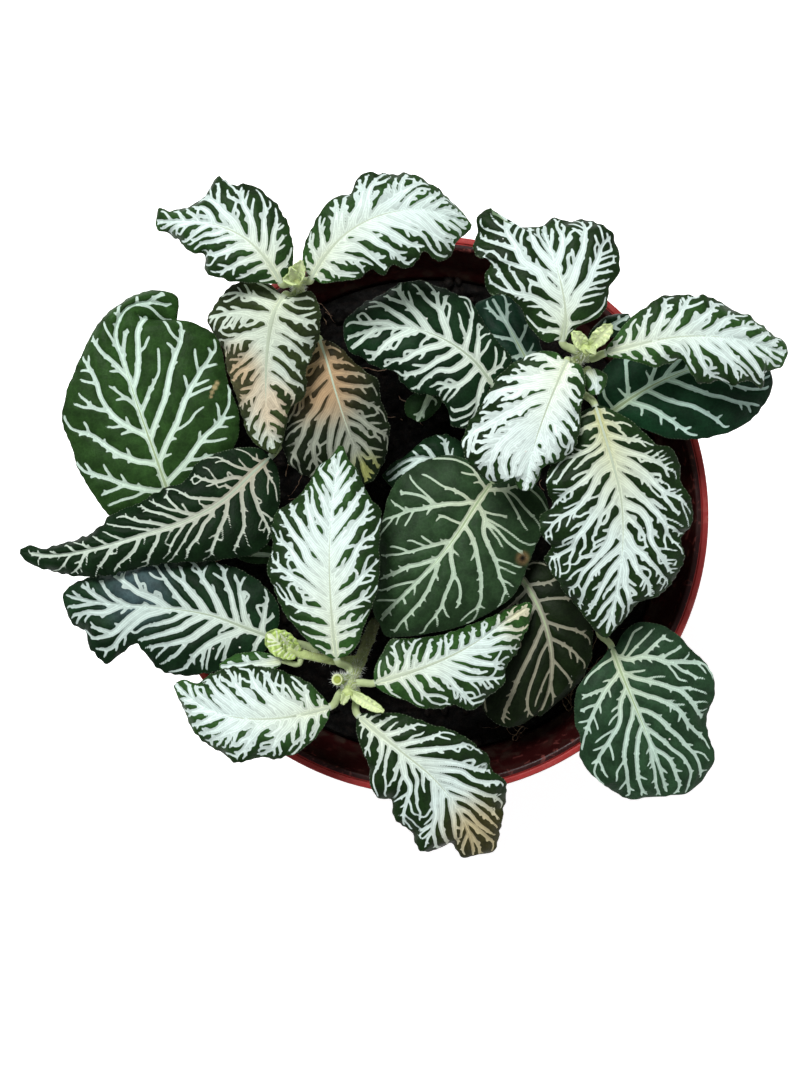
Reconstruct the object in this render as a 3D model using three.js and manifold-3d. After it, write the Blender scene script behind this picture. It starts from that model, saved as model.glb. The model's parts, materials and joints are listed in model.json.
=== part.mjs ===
// A potted nerve plant (Fittonia): a thin plastic flower pot filled with soil, seven rooted shoots
// standing in it, and every leaf of each shoot. Millimetres, +Z up, origin at the centre of the
// pot's flat underside. +X is to the right and +Y away from someone who looks at the plant.
import * as THREE from 'three';
import { mergeVertices } from 'three/addons/utils/BufferGeometryUtils.js';
import Module from 'manifold-3d';

const wasm = await Module();
wasm.setup();

// Driving dimensions of the pot and its soil
const POT_HEIGHT = 100;
const RIM_RADIUS = 60;
const LIP_WIDTH = 2.8;
const LIP_THICKNESS = 1.6;
const LIP_BEVEL = 0.5;
const BASE_RADIUS = 42;
const WALL = 1.4;
const COLLAR_HEIGHT = 11;
const COLLAR_STEP = 1.6;
const CORNER_BEVEL = 1.2;
const FLOOR = 1.8;
const POT_SIDES = 40;
const DRAIN_HOLES = 6;
const DRAIN_RADIUS = 4;
const DRAIN_CIRCLE = 29;
const DRAIN_SIDES = 12;
const SOIL_TOP = 88;
const SOIL_SIDES = 20;
const SOIL_RINGS = [0.94, 0.72, 0.48, 0.24, 0];
const SOIL_LUMP = 1.1;
const SOIL_GAP = 0.6;
const SOIL_CHAMFER = 2.2;
const FIT_GAP = 0.3;

// Driving dimensions of the shoots and blades
const STEM_SIDES = 8;
const STEM_RADIUS = 1.35;
const STEM_TAPER = 0.2;
const STEM_STEP = 5.5;
const NODE_SPACING = 13;
const NODE_SWELL = 0.2;
const ROOT_DEPTH = 16;
const HOLE_MOUTH = 6;
const STALK_GAP = 0.45;
const PETIOLE_HALF_WIDTH = 0.85;
const PETIOLE_THICKNESS = 1.5;
const BLADE_THICKNESS = 0.72;
const RIDGE_THICKNESS = 1.25;
const TIP_HALF_WIDTH = 0.5;

const POT_RED = 0x9c2f2c;
const SOIL_BROWN = 0x17120f;
const STEM_GREEN = 0x93a568;
const LEAF_WHITE = 0xd5e6da;
const LEAF_MIXED = 0x9fb8a4;
const LEAF_GREEN = 0x2f4a35;

// Stem routes: each starts at the soil and ends at its growing tip.
const STEMS = {
  back_left: [[-22, 12, 88], [-25, 26, 106], [-26, 38, 120], [-26.3, 44.6, 130], [-26.3, 45.4, 137.5]],
  back_right: [[15, 12, 88], [20, 18, 104], [24, 23.5, 118], [28, 29.5, 132], [29.9, 31.9, 141]],
  front: [[-12, -24, 88], [-13.6, -28, 102], [-15.4, -32.4, 116], [-16.8, -36, 127]],
  left: [[-40, 2, 88], [-43, 1, 97], [-46.4, -0.8, 105.5]],
  centre: [[21, -2, 88], [19.8, -4, 97], [18.4, -6.4, 104]],
  right: [[31, -14, 88], [34, -18.6, 97], [36.8, -23, 105.5]],
  back: [[0.5, 31, 88], [0.6, 30.6, 98], [0.8, 30.2, 102.5]],
};

// The young shoot that branches off the front stem, and the stump of one that was cut
const SIDE_SHOOT = [[-14.6, -30.6, 110], [-21, -30, 112.6], [-27, -28.6, 114], [-29.6, -27.6, 115.6]];
const SIDE_RADIUS = 1.05;
const CUT_STUMP = [[-16, -33.6, 119.5], [-18, -33.4, 123.4], [-18.8, -33.1, 126.4]];
const STUMP_RADIUS = 1.15;
const STUMP_STEPS = 3;

// Section of a young folded leaf: share of its half width, and height in millimetres
const BUD_SECTION = [[1, 0.55], [0.45, 0], [0, -0.15], [-0.45, 0], [-1, 0.55], [-0.5, -0.4],
  [0, -0.85], [0.5, -0.4]];
const BUD_PLACES = [0, 0.25, 0.5, 0.75, 0.97];
const BUD_ARCH = 0.25;

// Young folded leaves at the growing tips: root, tip and half width of each
const BUDS = {
  back_left: [
    { root: [-26.3, 45.2, 136.6], tip: [-25.2, 48.6, 140.6], width: 1.5 },
    { root: [-26.3, 45.4, 136.6], tip: [-28.6, 45.2, 139.6], width: 1.3 },
    { root: [-26.4, 45.2, 136.6], tip: [-27.2, 47.2, 141], width: 1.1 },
  ],
  back_right: [
    { root: [29.8, 31.8, 140], tip: [33, 35.8, 144], width: 1.7 },
    { root: [29.8, 31.8, 140], tip: [28, 35, 144], width: 1.5 },
    { root: [30, 32, 140], tip: [31, 30.6, 143.4], width: 0.9 },
  ],
  front: [
    { root: [-16.4, -35.6, 126], tip: [-9.4, -39.2, 129.6], width: 1.2 },
    { root: [-16.8, -35.8, 126], tip: [-17.6, -37.6, 129], width: 0.9 },
    { root: [-28.4, -28, 114.8], tip: [-33.4, -25.2, 118.4], width: 2.2 },
    { root: [-28.6, -27.8, 115], tip: [-30.6, -24.4, 118.6], width: 1.3 },
  ],
};

// Every leaf: the stem that carries it and the height of its node, then the midrib from the blade's
// base to its tip, and its left and right margins from base to tip, seen from above. A margin point
// may give a third number, its height above the leaf's usual edge. drop is how far the edge hangs
// below the midrib, puff how far the blade bulges between them, wave the height of the edge's
// waves and waves their number.
const LEAVES = {
  back_left_1: {
    stem: 'back_left', node: 134.6, look: 'white', drop: 1.6, puff: 0.7, wave: 0.9, waves: 3,
    midrib: [[-29.5, 45.1, 137.2], [-32.1, 49.2, 138.6], [-36.1, 53.2, 139.2], [-41.5, 55.8, 138.5],
      [-47.9, 56.9, 136.6], [-54.2, 57.3, 133.4]],
    left: [[-33.1, 44.7], [-37.1, 44.9], [-40.5, 45.4], [-44, 47], [-44.5, 50.4], [-47.4, 51.1],
      [-49.4, 53.4], [-51.6, 55], [-53.6, 55.6]],
    right: [[-27.3, 47.3], [-26.9, 51.2], [-27.9, 56.1], [-30.7, 60.7], [-35.4, 64], [-38.5, 63.7],
      [-41.7, 65.7], [-44.4, 62.2], [-47.9, 60], [-51.3, 59.4], [-53.5, 60]],
  },
  back_left_2: {
    stem: 'back_left', node: 134.6, look: 'white', drop: 1.8, puff: 0.8, wave: 0.9, waves: 4,
    midrib: [[-23.4, 45.9, 137.4], [-20.8, 49.7, 139], [-16.4, 54.2, 140], [-9.5, 57.7, 140],
      [-1.1, 58.9, 138], [7.8, 56.3, 133.5]],
    left: [[-25.1, 48.3], [-24.7, 52.2], [-22.6, 56.6], [-19.4, 60.9], [-15.9, 62.3], [-13.7, 65.7],
      [-9, 65.9], [-4.5, 66.3], [1.9, 63], [5.3, 60.1]],
    right: [[-21.4, 44.7], [-18.3, 45], [-14.9, 45.2], [-11.9, 47.1], [-9.2, 46.1], [-7.8, 47.9],
      [-4, 47.8], [-1.5, 50.8], [1.1, 49.3], [3.5, 50.2], [4.8, 53]],
  },
  back_left_3: {
    stem: 'back_left', node: 129.5, look: 'white', drop: 1.6, puff: 0.8, wave: 0.9, waves: 4,
    midrib: [[-29, 42.9, 133.2], [-31, 39.4, 133.4], [-32.3, 33.4, 131.5], [-32.9, 26.3, 128.5],
      [-32.9, 19.2, 125.5], [-31.7, 12.2, 122]],
    left: [[-26.3, 43.2], [-23.7, 43.8], [-22, 40.4], [-22.3, 34.9], [-24.1, 30.9], [-25, 27.3],
      [-25.1, 24], [-28.1, 21.4], [-29.2, 17.7], [-30, 14.7]],
    right: [[-31.7, 45.1], [-35.8, 45.9], [-39.7, 44.9], [-42.4, 42.2], [-44.4, 38.7], [-43.7, 36.7],
      [-41.6, 33], [-40.8, 28.8], [-39.3, 24.5], [-38.1, 19.5], [-36.2, 15]],
  },
  back_left_4: {
    stem: 'back_left', node: 119.5, look: 'white', drop: 1.4, puff: 0.7, wave: 0.6, waves: 3,
    midrib: [[-22.4, 35.2, 122], [-21, 31, 122.4], [-19, 24, 121], [-16.5, 16.5, 118.5],
      [-12.2, 6.8, 114.5]],
    left: [[-20.6, 35.2], [-18.5, 34], [-15.9, 31.4], [-13.1, 29], [-10.5, 27.2], [-10.2, 24],
      [-8.4, 18.9], [-8.5, 15.3], [-9.1, 12.1], [-10.5, 9]],
    right: [[-24, 33.6], [-26.3, 29.8], [-28.9, 25.1], [-30.6, 21.5], [-30.9, 16.8],
      [-29.9, 12.6], [-27.9, 9.3], [-22.7, 6.9], [-16.4, 5.4]],
  },
  back_left_5: {
    stem: 'back_left', node: 107, look: 'mixed', drop: 1.4, puff: 0.7, wave: 0.5, waves: 4,
    midrib: [[-33.2, 12, 112.6], [-37, 8.4, 114], [-42.6, 3, 115.6], [-50, -1.2, 116.2],
      [-59, -4.2, 115.6], [-69, -7, 114], [-78, -8.4, 112.2], [-85.5, -7.6, 110.6]],
    left: [[-31.6, 9.6], [-31, 5], [-31.4, 0], [-32.6, -4.6], [-36, -8], [-41, -9],
      [-47, -9.7], [-54, -10], [-61, -11.2], [-67, -12.6], [-73, -12.8], [-79.4, -11.6], [-83.9, -9.9]],
    right: [[-35.4, 13.8], [-39.6, 13.9], [-44.4, 12.6], [-48.4, 10.4], [-50.6, 7], [-55, 5.4],
      [-60, 2.6], [-65.8, 0.1], [-69, -2.9], [-73, -4.9], [-77, -6], [-80.6, -7], [-83.5, -6.3]],
  },
  back_right_1: {
    stem: 'back_right', node: 137.6, look: 'white', drop: 1.6, puff: 0.9, wave: 0.9, waves: 4,
    midrib: [[25.2, 33.5, 139.4], [25.7, 37.9, 140.8], [24.8, 43.8, 141.8], [23, 49.7, 141.6],
      [21.2, 55.8, 137.8]],
    left: [[22.2, 33], [18.8, 36], [17.2, 39.4], [14.2, 42], [10.9, 42.6], [10.2, 45.8],
      [11, 48.6], [7.9, 50], [8.6, 53.7], [8.8, 57.1], [11, 58.9], [12.5, 56.5], [16.7, 55.7]],
    right: [[28.1, 36], [32.1, 37.8], [34, 40.8], [34, 43.3], [35.8, 45.9], [36.2, 49.2],
      [35.4, 52.4], [33.8, 54.8], [29.5, 57], [26.1, 56.6], [23.6, 57.4]],
  },
  back_right_2: {
    stem: 'back_right', node: 134.6, look: 'white', drop: 1.6, puff: 0.9, wave: 0.9, waves: 4,
    midrib: [[26.2, 29.6, 137.6], [24.4, 25.6, 138.4], [22, 19.5, 137.4], [19.8, 12.5, 134.6],
      [18.4, 4.6, 130.6]],
    left: [[28.6, 29], [29.9, 26], [29.2, 21.5], [29, 16.6], [28.2, 13.4], [26, 10.6],
      [22.4, 9.4], [21, 6.6], [20, 5]],
    right: [[24.4, 31.2], [21.4, 31.6], [17.6, 30.2], [13.4, 27.4], [11.2, 24], [9.4, 20.8],
      [6.8, 17], [6, 12.6], [7.8, 9.4], [10.4, 7.2], [13.4, 6], [15.6, 8], [17, 5.4]],
  },
  back_right_3: {
    stem: 'back_right', node: 135.4, look: 'white', drop: 1.5, puff: 0.9, wave: 0.8, waves: 4,
    midrib: [[33.8, 31.2, 138.4], [38, 32.2, 139.4], [45, 33.8, 139.6], [53, 34.4, 138.6],
      [61.5, 33.6, 136], [70.3, 31.4, 131.6]],
    left: [[35.4, 34.2], [38, 37.5], [41.2, 39.9], [45, 42.3], [50, 42.4], [54.2, 42.1],
      [59, 40], [64, 37.6], [67.4, 35.4], [69.8, 33.8]],
    right: [[36.6, 30], [40, 29.2], [42.6, 28.3], [45.4, 28.8], [48.4, 29.8], [50.6, 26.4],
      [53, 25.2], [56.2, 26], [59, 25], [61.6, 26], [65.2, 24.9], [65.6, 27.7], [68.8, 28.8]],
  },
  back_right_4: {
    stem: 'back_right', node: 127, look: 'white', drop: 1.8, puff: 0.9, wave: 0.9, waves: 5,
    midrib: [[32.4, 21.2, 132], [33.6, 17, 132.6], [35.8, 10, 131.8], [37.6, 3, 130.4],
      [38.2, -6, 128.2], [37.4, -15, 125.4], [35.4, -25, 121]],
    left: [[34.6, 21], [37.8, 19.4], [41, 17.2], [44.4, 13.8], [47.2, 13.2], [49.4, 10.2],
      [49.6, 6.6], [51.8, 2.6], [52.2, -2], [49.9, -5], [50.8, -8.2], [49.6, -12.2],
      [46, -16.4], [42.4, -17.6], [40.4, -20], [38, -22.8]],
    right: [[30, 20.4], [27.8, 18.2], [27.9, 14.4], [25.4, 11.3], [23.4, 9.2], [22.8, 5],
      [24.2, 2], [21.6, -0.8], [22, -4], [24, -6.8], [22.8, -9], [24.6, -12.2], [27, -15.8],
      [29.4, -18.4], [31.6, -21.4], [33.8, -24]],
  },
  back_right_5: {
    stem: 'back_right', node: 118.4, look: 'green', drop: 1.4, puff: 0.8, wave: 0.4, waves: 3,
    midrib: [[35.6, 20, 121.4], [41, 23.8, 122.4], [48, 27.6, 122.8], [57, 30.4, 122],
      [69.5, 30.2, 118.6]],
    left: [[34, 22.6], [34, 27.4], [37, 31.6], [44, 36], [54, 38.6], [62, 37], [67.6, 33.5]],
    right: [[38, 19], [42.8, 17.5], [48, 15.5], [54.2, 15.3], [60.6, 16.7], [65.2, 19.2],
      [68.4, 22.9], [70, 26.8]],
  },
  back_right_6: {
    stem: 'back_right', node: 131.2, look: 'white', drop: 0.5, puff: 0.3, wave: 0.2, waves: 2, small: true,
    midrib: [[31, 28.2, 134], [31.9, 26.2, 134.4], [32.6, 23.4, 133.7]],
    left: [[33, 28.2], [34.4, 27.2], [34.2, 25]],
    right: [[30, 26.6], [30.2, 24.8], [31.2, 23.4]],
  },
  back_right_7: {
    stem: 'back_right', node: 126.4, look: 'mixed', drop: 0.8, puff: 0.5, wave: 0.4, waves: 2, small: true,
    midrib: [[31.4, 34.2, 130.6], [33.8, 36.2, 131], [36.6, 37.8, 130.6], [39.4, 39.4, 129.4]],
    left: [[31.8, 36.6], [33.8, 38.6], [36.8, 39.8]],
    right: [[34.4, 34.4], [37.8, 35.8], [39.8, 37.8]],
  },
  back_right_8: {
    stem: 'back_right', node: 113.6, look: 'mixed', drop: 1.4, puff: 0.8, wave: 0.7, waves: 4,
    midrib: [[12.6, 26.6, 119.6], [8.6, 31.4, 121.4], [3, 35.3, 122.4], [-3.5, 37.6, 122.8],
      [-10.5, 37.6, 122], [-17.6, 35.8, 119.6]],
    left: [[11.6, 24.2], [9.6, 20.6], [7.6, 17.6], [4.4, 18], [3.4, 21.6], [1.6, 23.8],
      [-2.4, 24.4], [-5.4, 26.2], [-7, 28.8], [-11, 29.9], [-14, 31.9], [-16.6, 33.4]],
    right: [[14.4, 28.4], [16.6, 31.4], [13.8, 35], [11, 38.8], [9.4, 41.6], [7.4, 43.8],
      [3.6, 45.4], [0, 47], [-4.6, 47.3], [-9.6, 45], [-14.4, 42.4], [-17.6, 39]],
  },
  back_right_9: {
    stem: 'back_right', node: 115.8, look: 'green', drop: 1.4, puff: 0.4, wave: 0.3, waves: 2,
    midrib: [[21.4, 28.6, 118.4], [19, 33, 118.4], [16, 38.6, 117.6], [12.6, 45, 115.4]],
    left: [[18.6, 29], [14.4, 31], [11.2, 35], [9.2, 39.4], [9.4, 43.4]],
    right: [[23.4, 30.6], [22.6, 35], [20.8, 40], [18, 44.4], [15, 46]],
  },
  back_right_10: {
    stem: 'back_right', node: 105.6, look: 'green', drop: 1.6, puff: 0.9, wave: 0.5, waves: 4,
    midrib: [[12.8, 6.6, 112.4], [9.6, 2.2, 113.6], [5.6, -4, 114.2], [1, -10, 114],
      [-4.4, -15.6, 113], [-11, -22, 110.8]],
    left: [[16.4, 7.6], [20.6, 7.2], [23.6, 4.6], [24.6, 0.6], [23.4, -3.4], [21.6, -7.4],
      [20, -11.6], [17.6, -16.4], [13, -20], [7, -23], [0.4, -24.6], [-5, -25.4], [-9.2, -25.2]],
    right: [[11.4, 9.4], [8, 11.4], [4, 12.4], [-0.6, 11.4], [-5, 8.8], [-8, 5.4], [-9.4, 1],
      [-10.6, -4], [-10.6, -9], [-11.2, -14], [-12, -19]],
  },
  front_1: {
    stem: 'front', node: 118.4, look: 'white', drop: 1.6, puff: 0.9, wave: 0.8, waves: 5,
    midrib: [[-19, -29, 123.6], [-19.6, -24, 124.8], [-20.2, -16, 125.6], [-20.4, -8, 125.6],
      [-20, 0, 124.6], [-19.2, 7.5, 122.8], [-18.2, 14, 120]],
    left: [[-21.2, -28.4], [-24, -26.4], [-27, -23], [-29.8, -19.4], [-31.6, -15], [-33, -10.6],
      [-32, -7], [-32.2, -3], [-31, 0.6], [-27.6, 3], [-24.8, 6.2], [-23, 9.6], [-20.2, 11.8]],
    right: [[-17, -28.6], [-14.6, -26], [-13.4, -22.4], [-12.2, -19.6], [-10.9, -16],
      [-10.3, -12], [-10.3, -7], [-10.2, -3], [-10, 0.6], [-12, 3.2], [-13.6, 6], [-14.6, 8.8],
      [-16.4, 10.8]],
  },
  front_2: {
    stem: 'front', node: 123.4, look: 'white', drop: 1.5, puff: 0.8, wave: 0.8, waves: 4,
    midrib: [[-20.4, -38.6, 127], [-25, -39.8, 128], [-32, -40.8, 128.2], [-39, -40.6, 127],
      [-45.6, -38.8, 125], [-51.8, -34.4, 122]],
    left: [[-20.6, -41], [-23, -44.6], [-26.4, -47.4], [-31, -48.9], [-35, -48.8],
      [-38.8, -49.8], [-41.6, -48.2], [-45, -46.4], [-48, -43.4], [-49.8, -40], [-51.2, -37]],
    right: [[-22, -36], [-24.4, -33.6], [-28, -32], [-32, -30.7], [-37, -30.4], [-41.4, -31],
      [-44.4, -32.2], [-47, -34], [-50, -33.4]],
  },
  front_3: {
    stem: 'front', node: 122, look: 'white', drop: 1.4, puff: 0.8, wave: 0.7, waves: 4,
    midrib: [[-11.2, -34, 124], [-6.6, -32.6, 124], [-1, -30.8, 122.4], [5, -28.4, 119.6],
      [11, -25.2, 116.4], [16, -21.8, 113.6], [21.2, -18.6, 111]],
    left: [[-11.4, -31.4], [-9.6, -27.6], [-8, -25.3], [-4, -25.2], [1, -24.8], [6, -23.5],
      [11, -21.7], [15.6, -19.9], [19.4, -18.3]],
    right: [[-9, -36.2], [-5, -37.6], [-2, -39.1], [2, -39.5], [5, -38.7], [7.4, -39.9],
      [10.2, -39.2], [12.2, -37.1], [15.1, -35.1], [15.8, -31.3], [18, -28.8], [19.2, -26],
      [20.4, -23.4], [21, -20.8]],
  },
  front_4: {
    stem: 'front', node: 121, look: 'white', drop: 1.7, puff: 0.9, wave: 0.9, waves: 5,
    midrib: [[-14.4, -40.6, 125.4], [-10.8, -43.6, 126.2], [-5.4, -48, 126], [0, -52.6, 124.6],
      [4.6, -58.2, 122.4], [7.6, -64.2, 119.8], [9.2, -70, 116.6]],
    left: [[-12.4, -39.8], [-9, -39.8], [-5, -40.2], [-2, -41.4], [2, -42.8], [6, -44.2],
      [9.4, -46.8], [11.6, -49], [12.8, -52.1], [15.2, -54], [15.4, -57.8], [14.7, -61.9],
      [14.1, -65.7], [13.2, -69]],
    right: [[-15, -43.4], [-13.8, -47.4], [-12.4, -50.8], [-12.2, -54.4], [-10.4, -57.2],
      [-8, -57.8], [-7.6, -60.4], [-6.2, -62.8], [-3.9, -64.2], [-3.1, -67.2], [-0.6, -68.6],
      [2.4, -68.2], [4, -67.2], [5.6, -69.2], [6.9, -70.4]],
  },
  front_5: {
    stem: 'side', node: 113.8, look: 'white', drop: 0.6, puff: 0.4, wave: 0.3, waves: 3, small: true,
    midrib: [[-30.8, -30.2, 114.8], [-34.6, -30.6, 115.2], [-39, -31, 114.8], [-43.6, -31.4, 113.4]],
    left: [[-32.4, -32], [-37, -33.2], [-41.4, -33]],
    right: [[-32.2, -28.8], [-36, -28.2], [-40.4, -28.9]],
  },
  front_6: {
    stem: 'side', node: 113.2, look: 'mixed', drop: 1.5, puff: 0.8, wave: 0.7, waves: 4,
    midrib: [[-32.6, -25.6, 111.4], [-38, -23.6, 112], [-45, -21, 112.4], [-53, -19.6, 112],
      [-62, -19, 111], [-70, -18.2, 109.6], [-77, -16.8, 108]],
    left: [[-34.6, -28.6], [-38.6, -31], [-43, -32.2], [-48, -33.2], [-53, -33.4], [-57, -31.8],
      [-59.4, -28.6], [-61.4, -27], [-64.8, -29.2], [-67.4, -31], [-70.9, -28.2], [-72.4, -24.4],
      [-75, -22.9], [-76.5, -19.6]],
    right: [[-31.4, -22.6], [-31.6, -18.6], [-34.6, -14.6], [-39, -11.6], [-44, -10],
      [-50, -9.4], [-57, -10], [-64, -11.4], [-70.6, -12.8], [-75, -14.5]],
  },
  left_1: {
    stem: 'left', node: 104.6, look: 'green', drop: 1.4, puff: 0.9, wave: 0.5, waves: 4, rows: 22,
    midrib: [[-52.2, -1.6, 108.6], [-54.6, 5, 111], [-57.2, 13, 113], [-60.4, 22.5, 114.4],
      [-63, 31, 115], [-64.8, 37.5, 115.4], [-62.6, 42.4, 115.2], [-58, 44, 113.6],
      [-52.4, 43, 110.6]],
    left: [[-55.6, -2.6], [-61, -2], [-66.4, -0.4], [-70.4, 5], [-73.2, 10], [-74.6, 14.8],
      [-76.2, 18.8], [-75.3, 25], [-73.1, 31], [-71.1, 35.4], [-68.2, 40], [-64.4, 43.5],
      [-60, 46.2], [-55.6, 46.7], [-52.6, 45.5]],
    right: [[-49, -1], [-46.6, 3], [-44, 8], [-41, 13.4], [-39.6, 17.4], [-39.8, 22],
      [-41.6, 26.6], [-42.6, 31.6], [-44, 36.6], [-47.6, 39.2], [-52, 40.3], [-56.4, 40.4, -4],
      [-59.6, 39.4, -4], [-60.4, 38.2, -2.5], [-56.8, 39.6, -1], [-53.2, 39.9, -1]],
  },
  left_2: {
    stem: 'left', node: 98, look: 'green', drop: 0.5, puff: 0.3, wave: 0.2, waves: 2, small: true,
    midrib: [[-41.6, -6.6, 103.6], [-38, -8, 104], [-30.8, -8.6, 103]],
    left: [[-39.6, -5.8], [-35, -6.2], [-32, -7.4]],
    right: [[-40.6, -9.2], [-36, -10.4], [-32.4, -9.6]],
  },
  centre_1: {
    stem: 'centre', node: 102.6, look: 'green', drop: 1.2, puff: 0.7, wave: 0.4, waves: 3,
    midrib: [[17.8, -11, 105.6], [21.6, -16.6, 106.6], [24.4, -23, 107], [25.8, -30, 106.6],
      [25.4, -36.4, 105.4], [23.2, -42.6, 103.6]],
    left: [[20.4, -9.6], [25, -10], [29.4, -12.6], [32.4, -17], [34, -22], [34.6, -27],
      [33.6, -32], [31, -36.4], [27, -40]],
    right: [[16, -13.6], [13.6, -18.6], [11.8, -25], [10.6, -31.6], [10.4, -37.6],
      [12.2, -42.4], [15.6, -44.8], [19.6, -44.4]],
  },
  centre_2: {
    stem: 'centre', node: 101.6, look: 'mixed', drop: 1.2, puff: 0.6, wave: 0.5, waves: 3,
    midrib: [[10.2, 3.4, 105.4], [6.4, 8, 106.6], [1.4, 11.4, 107], [-4, 11.8, 106.6],
      [-9.8, 8, 104.8]],
    left: [[8.4, 1.4], [3.4, 2.4], [-2.4, 4], [-7.4, 5.4]],
    right: [[11.4, 7], [9.6, 12], [6.4, 15.8], [2.2, 17.1], [-1.4, 15.8], [-4.6, 13], [-8, 10.8]],
  },
  right_1: {
    stem: 'right', node: 104.4, look: 'green', drop: 1.6, puff: 0.9, wave: 0.6, waves: 4,
    midrib: [[38.2, -27.8, 109.8], [39.6, -32, 110.8], [42, -38, 111.4], [44.8, -44.6, 110.8],
      [47.8, -51.8, 109.2], [50.2, -59.2, 106.6]],
    left: [[40.2, -25], [43, -22.6], [47, -22.6], [51, -24.4], [54.8, -28.2], [58.5, -31.9],
      [59.7, -36.8], [58.3, -41.8], [58.5, -46], [59.9, -50.4], [58.1, -55.1], [54.4, -58.6]],
    right: [[36.2, -29.8], [33.6, -32.4], [31, -35.8], [30.2, -40], [30.4, -43.6], [31.5, -47],
      [31.6, -51], [34.4, -54.8], [38, -57.6], [41.9, -59.8], [46.4, -59.4]],
  },
  back_1: {
    stem: 'back', node: 101.4, look: 'green', drop: 0.6, puff: 0.3, wave: 0.2, waves: 2, small: true,
    midrib: [[0.6, 26.6, 104], [-0.4, 24.2, 105], [-2.6, 19.9, 104.2]],
    left: [[2.6, 25.8], [2.4, 23.2], [0, 20.6]],
    right: [[-2.2, 26.4], [-5, 24.2], [-5, 21.4]],
  },
};

const BLADE_ROWS = 16;
const SMALL_ROWS = 8;
const PETIOLE_ROWS = 3;
const HALF_COLUMNS = 2;
const UP = new THREE.Vector3(0, 0, 1);

const vector = ([x, y, z = 0]) => new THREE.Vector3(x, y, z);
const route = (points) => new THREE.CatmullRomCurve3(points.map(vector), false, 'centripetal');

function meshFrom(points, triangles) {
  const geometry = new THREE.BufferGeometry();
  const positions = points.flatMap((p) => [p.x, p.y, p.z]);
  geometry.setAttribute('position', new THREE.Float32BufferAttribute(positions, 3));
  geometry.setIndex(triangles);
  return geometry;
}

// Closed solid from rings of points, each ring counterclockwise seen from the last ring
function loft(rings) {
  const sides = rings[0].length;
  const points = rings.flat();
  const triangles = [];
  for (let i = 0; i + 1 < rings.length; i++) {
    for (let j = 0; j < sides; j++) {
      const a = i * sides + j;
      const b = i * sides + (j + 1) % sides;
      triangles.push(a, b, b + sides, a, b + sides, a + sides);
    }
  }
  const last = (rings.length - 1) * sides;
  for (let j = 1; j + 1 < sides; j++) {
    triangles.push(0, j + 1, j, last, last + j, last + j + 1);
  }
  return meshFrom(points, triangles);
}

// Round tube along a curve, whose radius is given for each place along it
function tube(curve, steps, sides, radiusAt) {
  const rings = [];
  for (let i = 0; i <= steps; i++) {
    const s = i / steps;
    const centre = curve.getPointAt(s);
    const along = curve.getTangentAt(s);
    const across = new THREE.Vector3(1, 0, 0).addScaledVector(along, -along.x).normalize();
    const side = new THREE.Vector3().crossVectors(along, across);
    const ring = [];
    for (let j = 0; j < sides; j++) {
      const angle = (2 * Math.PI * j) / sides;
      ring.push(centre.clone()
        .addScaledVector(across, radiusAt(s) * Math.cos(angle))
        .addScaledVector(side, radiusAt(s) * Math.sin(angle)));
    }
    rings.push(ring);
  }
  return loft(rings);
}

function toSolid(geometry) {
  const bare = new THREE.BufferGeometry();
  bare.setAttribute('position', geometry.getAttribute('position'));
  bare.setIndex(geometry.getIndex());
  const merged = mergeVertices(bare, 1e-4);
  const corners = merged.getIndex().array;
  const kept = [];
  for (let i = 0; i < corners.length; i += 3) {
    const [a, b, c] = corners.slice(i, i + 3);
    if (a !== b && b !== c && c !== a) kept.push(a, b, c);
  }
  const vertProperties = new Float32Array(merged.getAttribute('position').array);
  return new wasm.Manifold(new wasm.Mesh({ numProp: 3, vertProperties, triVerts: new Uint32Array(kept) }));
}

function toGeometry(solid) {
  const mesh = solid.getMesh();
  const geometry = new THREE.BufferGeometry();
  geometry.setAttribute('position', new THREE.Float32BufferAttribute(mesh.vertProperties, 3));
  geometry.setIndex([...mesh.triVerts]);
  return geometry;
}

// The route of a stem below the soil runs on straight, down to its cut end.
function rootedRoute(points) {
  const foot = vector(points[0]);
  const down = foot.clone().sub(vector(points[1])).normalize();
  const end = foot.clone().addScaledVector(down, ROOT_DEPTH);
  return route([[end.x, end.y, end.z], ...points]);
}

const stemCurves = Object.fromEntries(
  Object.entries(STEMS).map(([name, points]) => [name, rootedRoute(points)]),
);
stemCurves.side = route(SIDE_SHOOT);

// A stem is a little thicker at each node and thinner towards its tip.
function stemRadius(curve, radius) {
  const length = curve.getLength();
  return (s) => {
    const ring = Math.cos((2 * Math.PI * s * length) / NODE_SPACING);
    return radius * (1 - STEM_TAPER * s) * (1 + NODE_SWELL * Math.max(0, ring) ** 4);
  };
}

function stemTube(curve, radius) {
  const steps = Math.max(4, Math.round(curve.getLength() / STEM_STEP));
  return tube(curve, steps, STEM_SIDES, stemRadius(curve, radius));
}

// A young leaf, still half folded, is a slim arched boat.
function budBoat({ root, tip, width }) {
  const start = vector(root);
  const end = vector(tip);
  const middle = start.clone().lerp(end, 0.5).addScaledVector(UP, BUD_ARCH * start.distanceTo(end));
  const curve = new THREE.QuadraticBezierCurve3(start, middle, end);
  const rings = BUD_PLACES.map((s) => {
    const centre = curve.getPoint(s);
    const along = curve.getTangent(s);
    const across = new THREE.Vector3().crossVectors(along, UP).normalize();
    const lift = new THREE.Vector3().crossVectors(across, along);
    const half = width * (0.35 + 0.65 * Math.sin(Math.PI * (0.06 + 0.92 * s)));
    const corners = BUD_SECTION.map(([share, height]) => centre.clone()
      .addScaledVector(across, share * half)
      .addScaledVector(lift, height));
    return corners.reverse();
  });
  return loft(rings);
}

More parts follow.
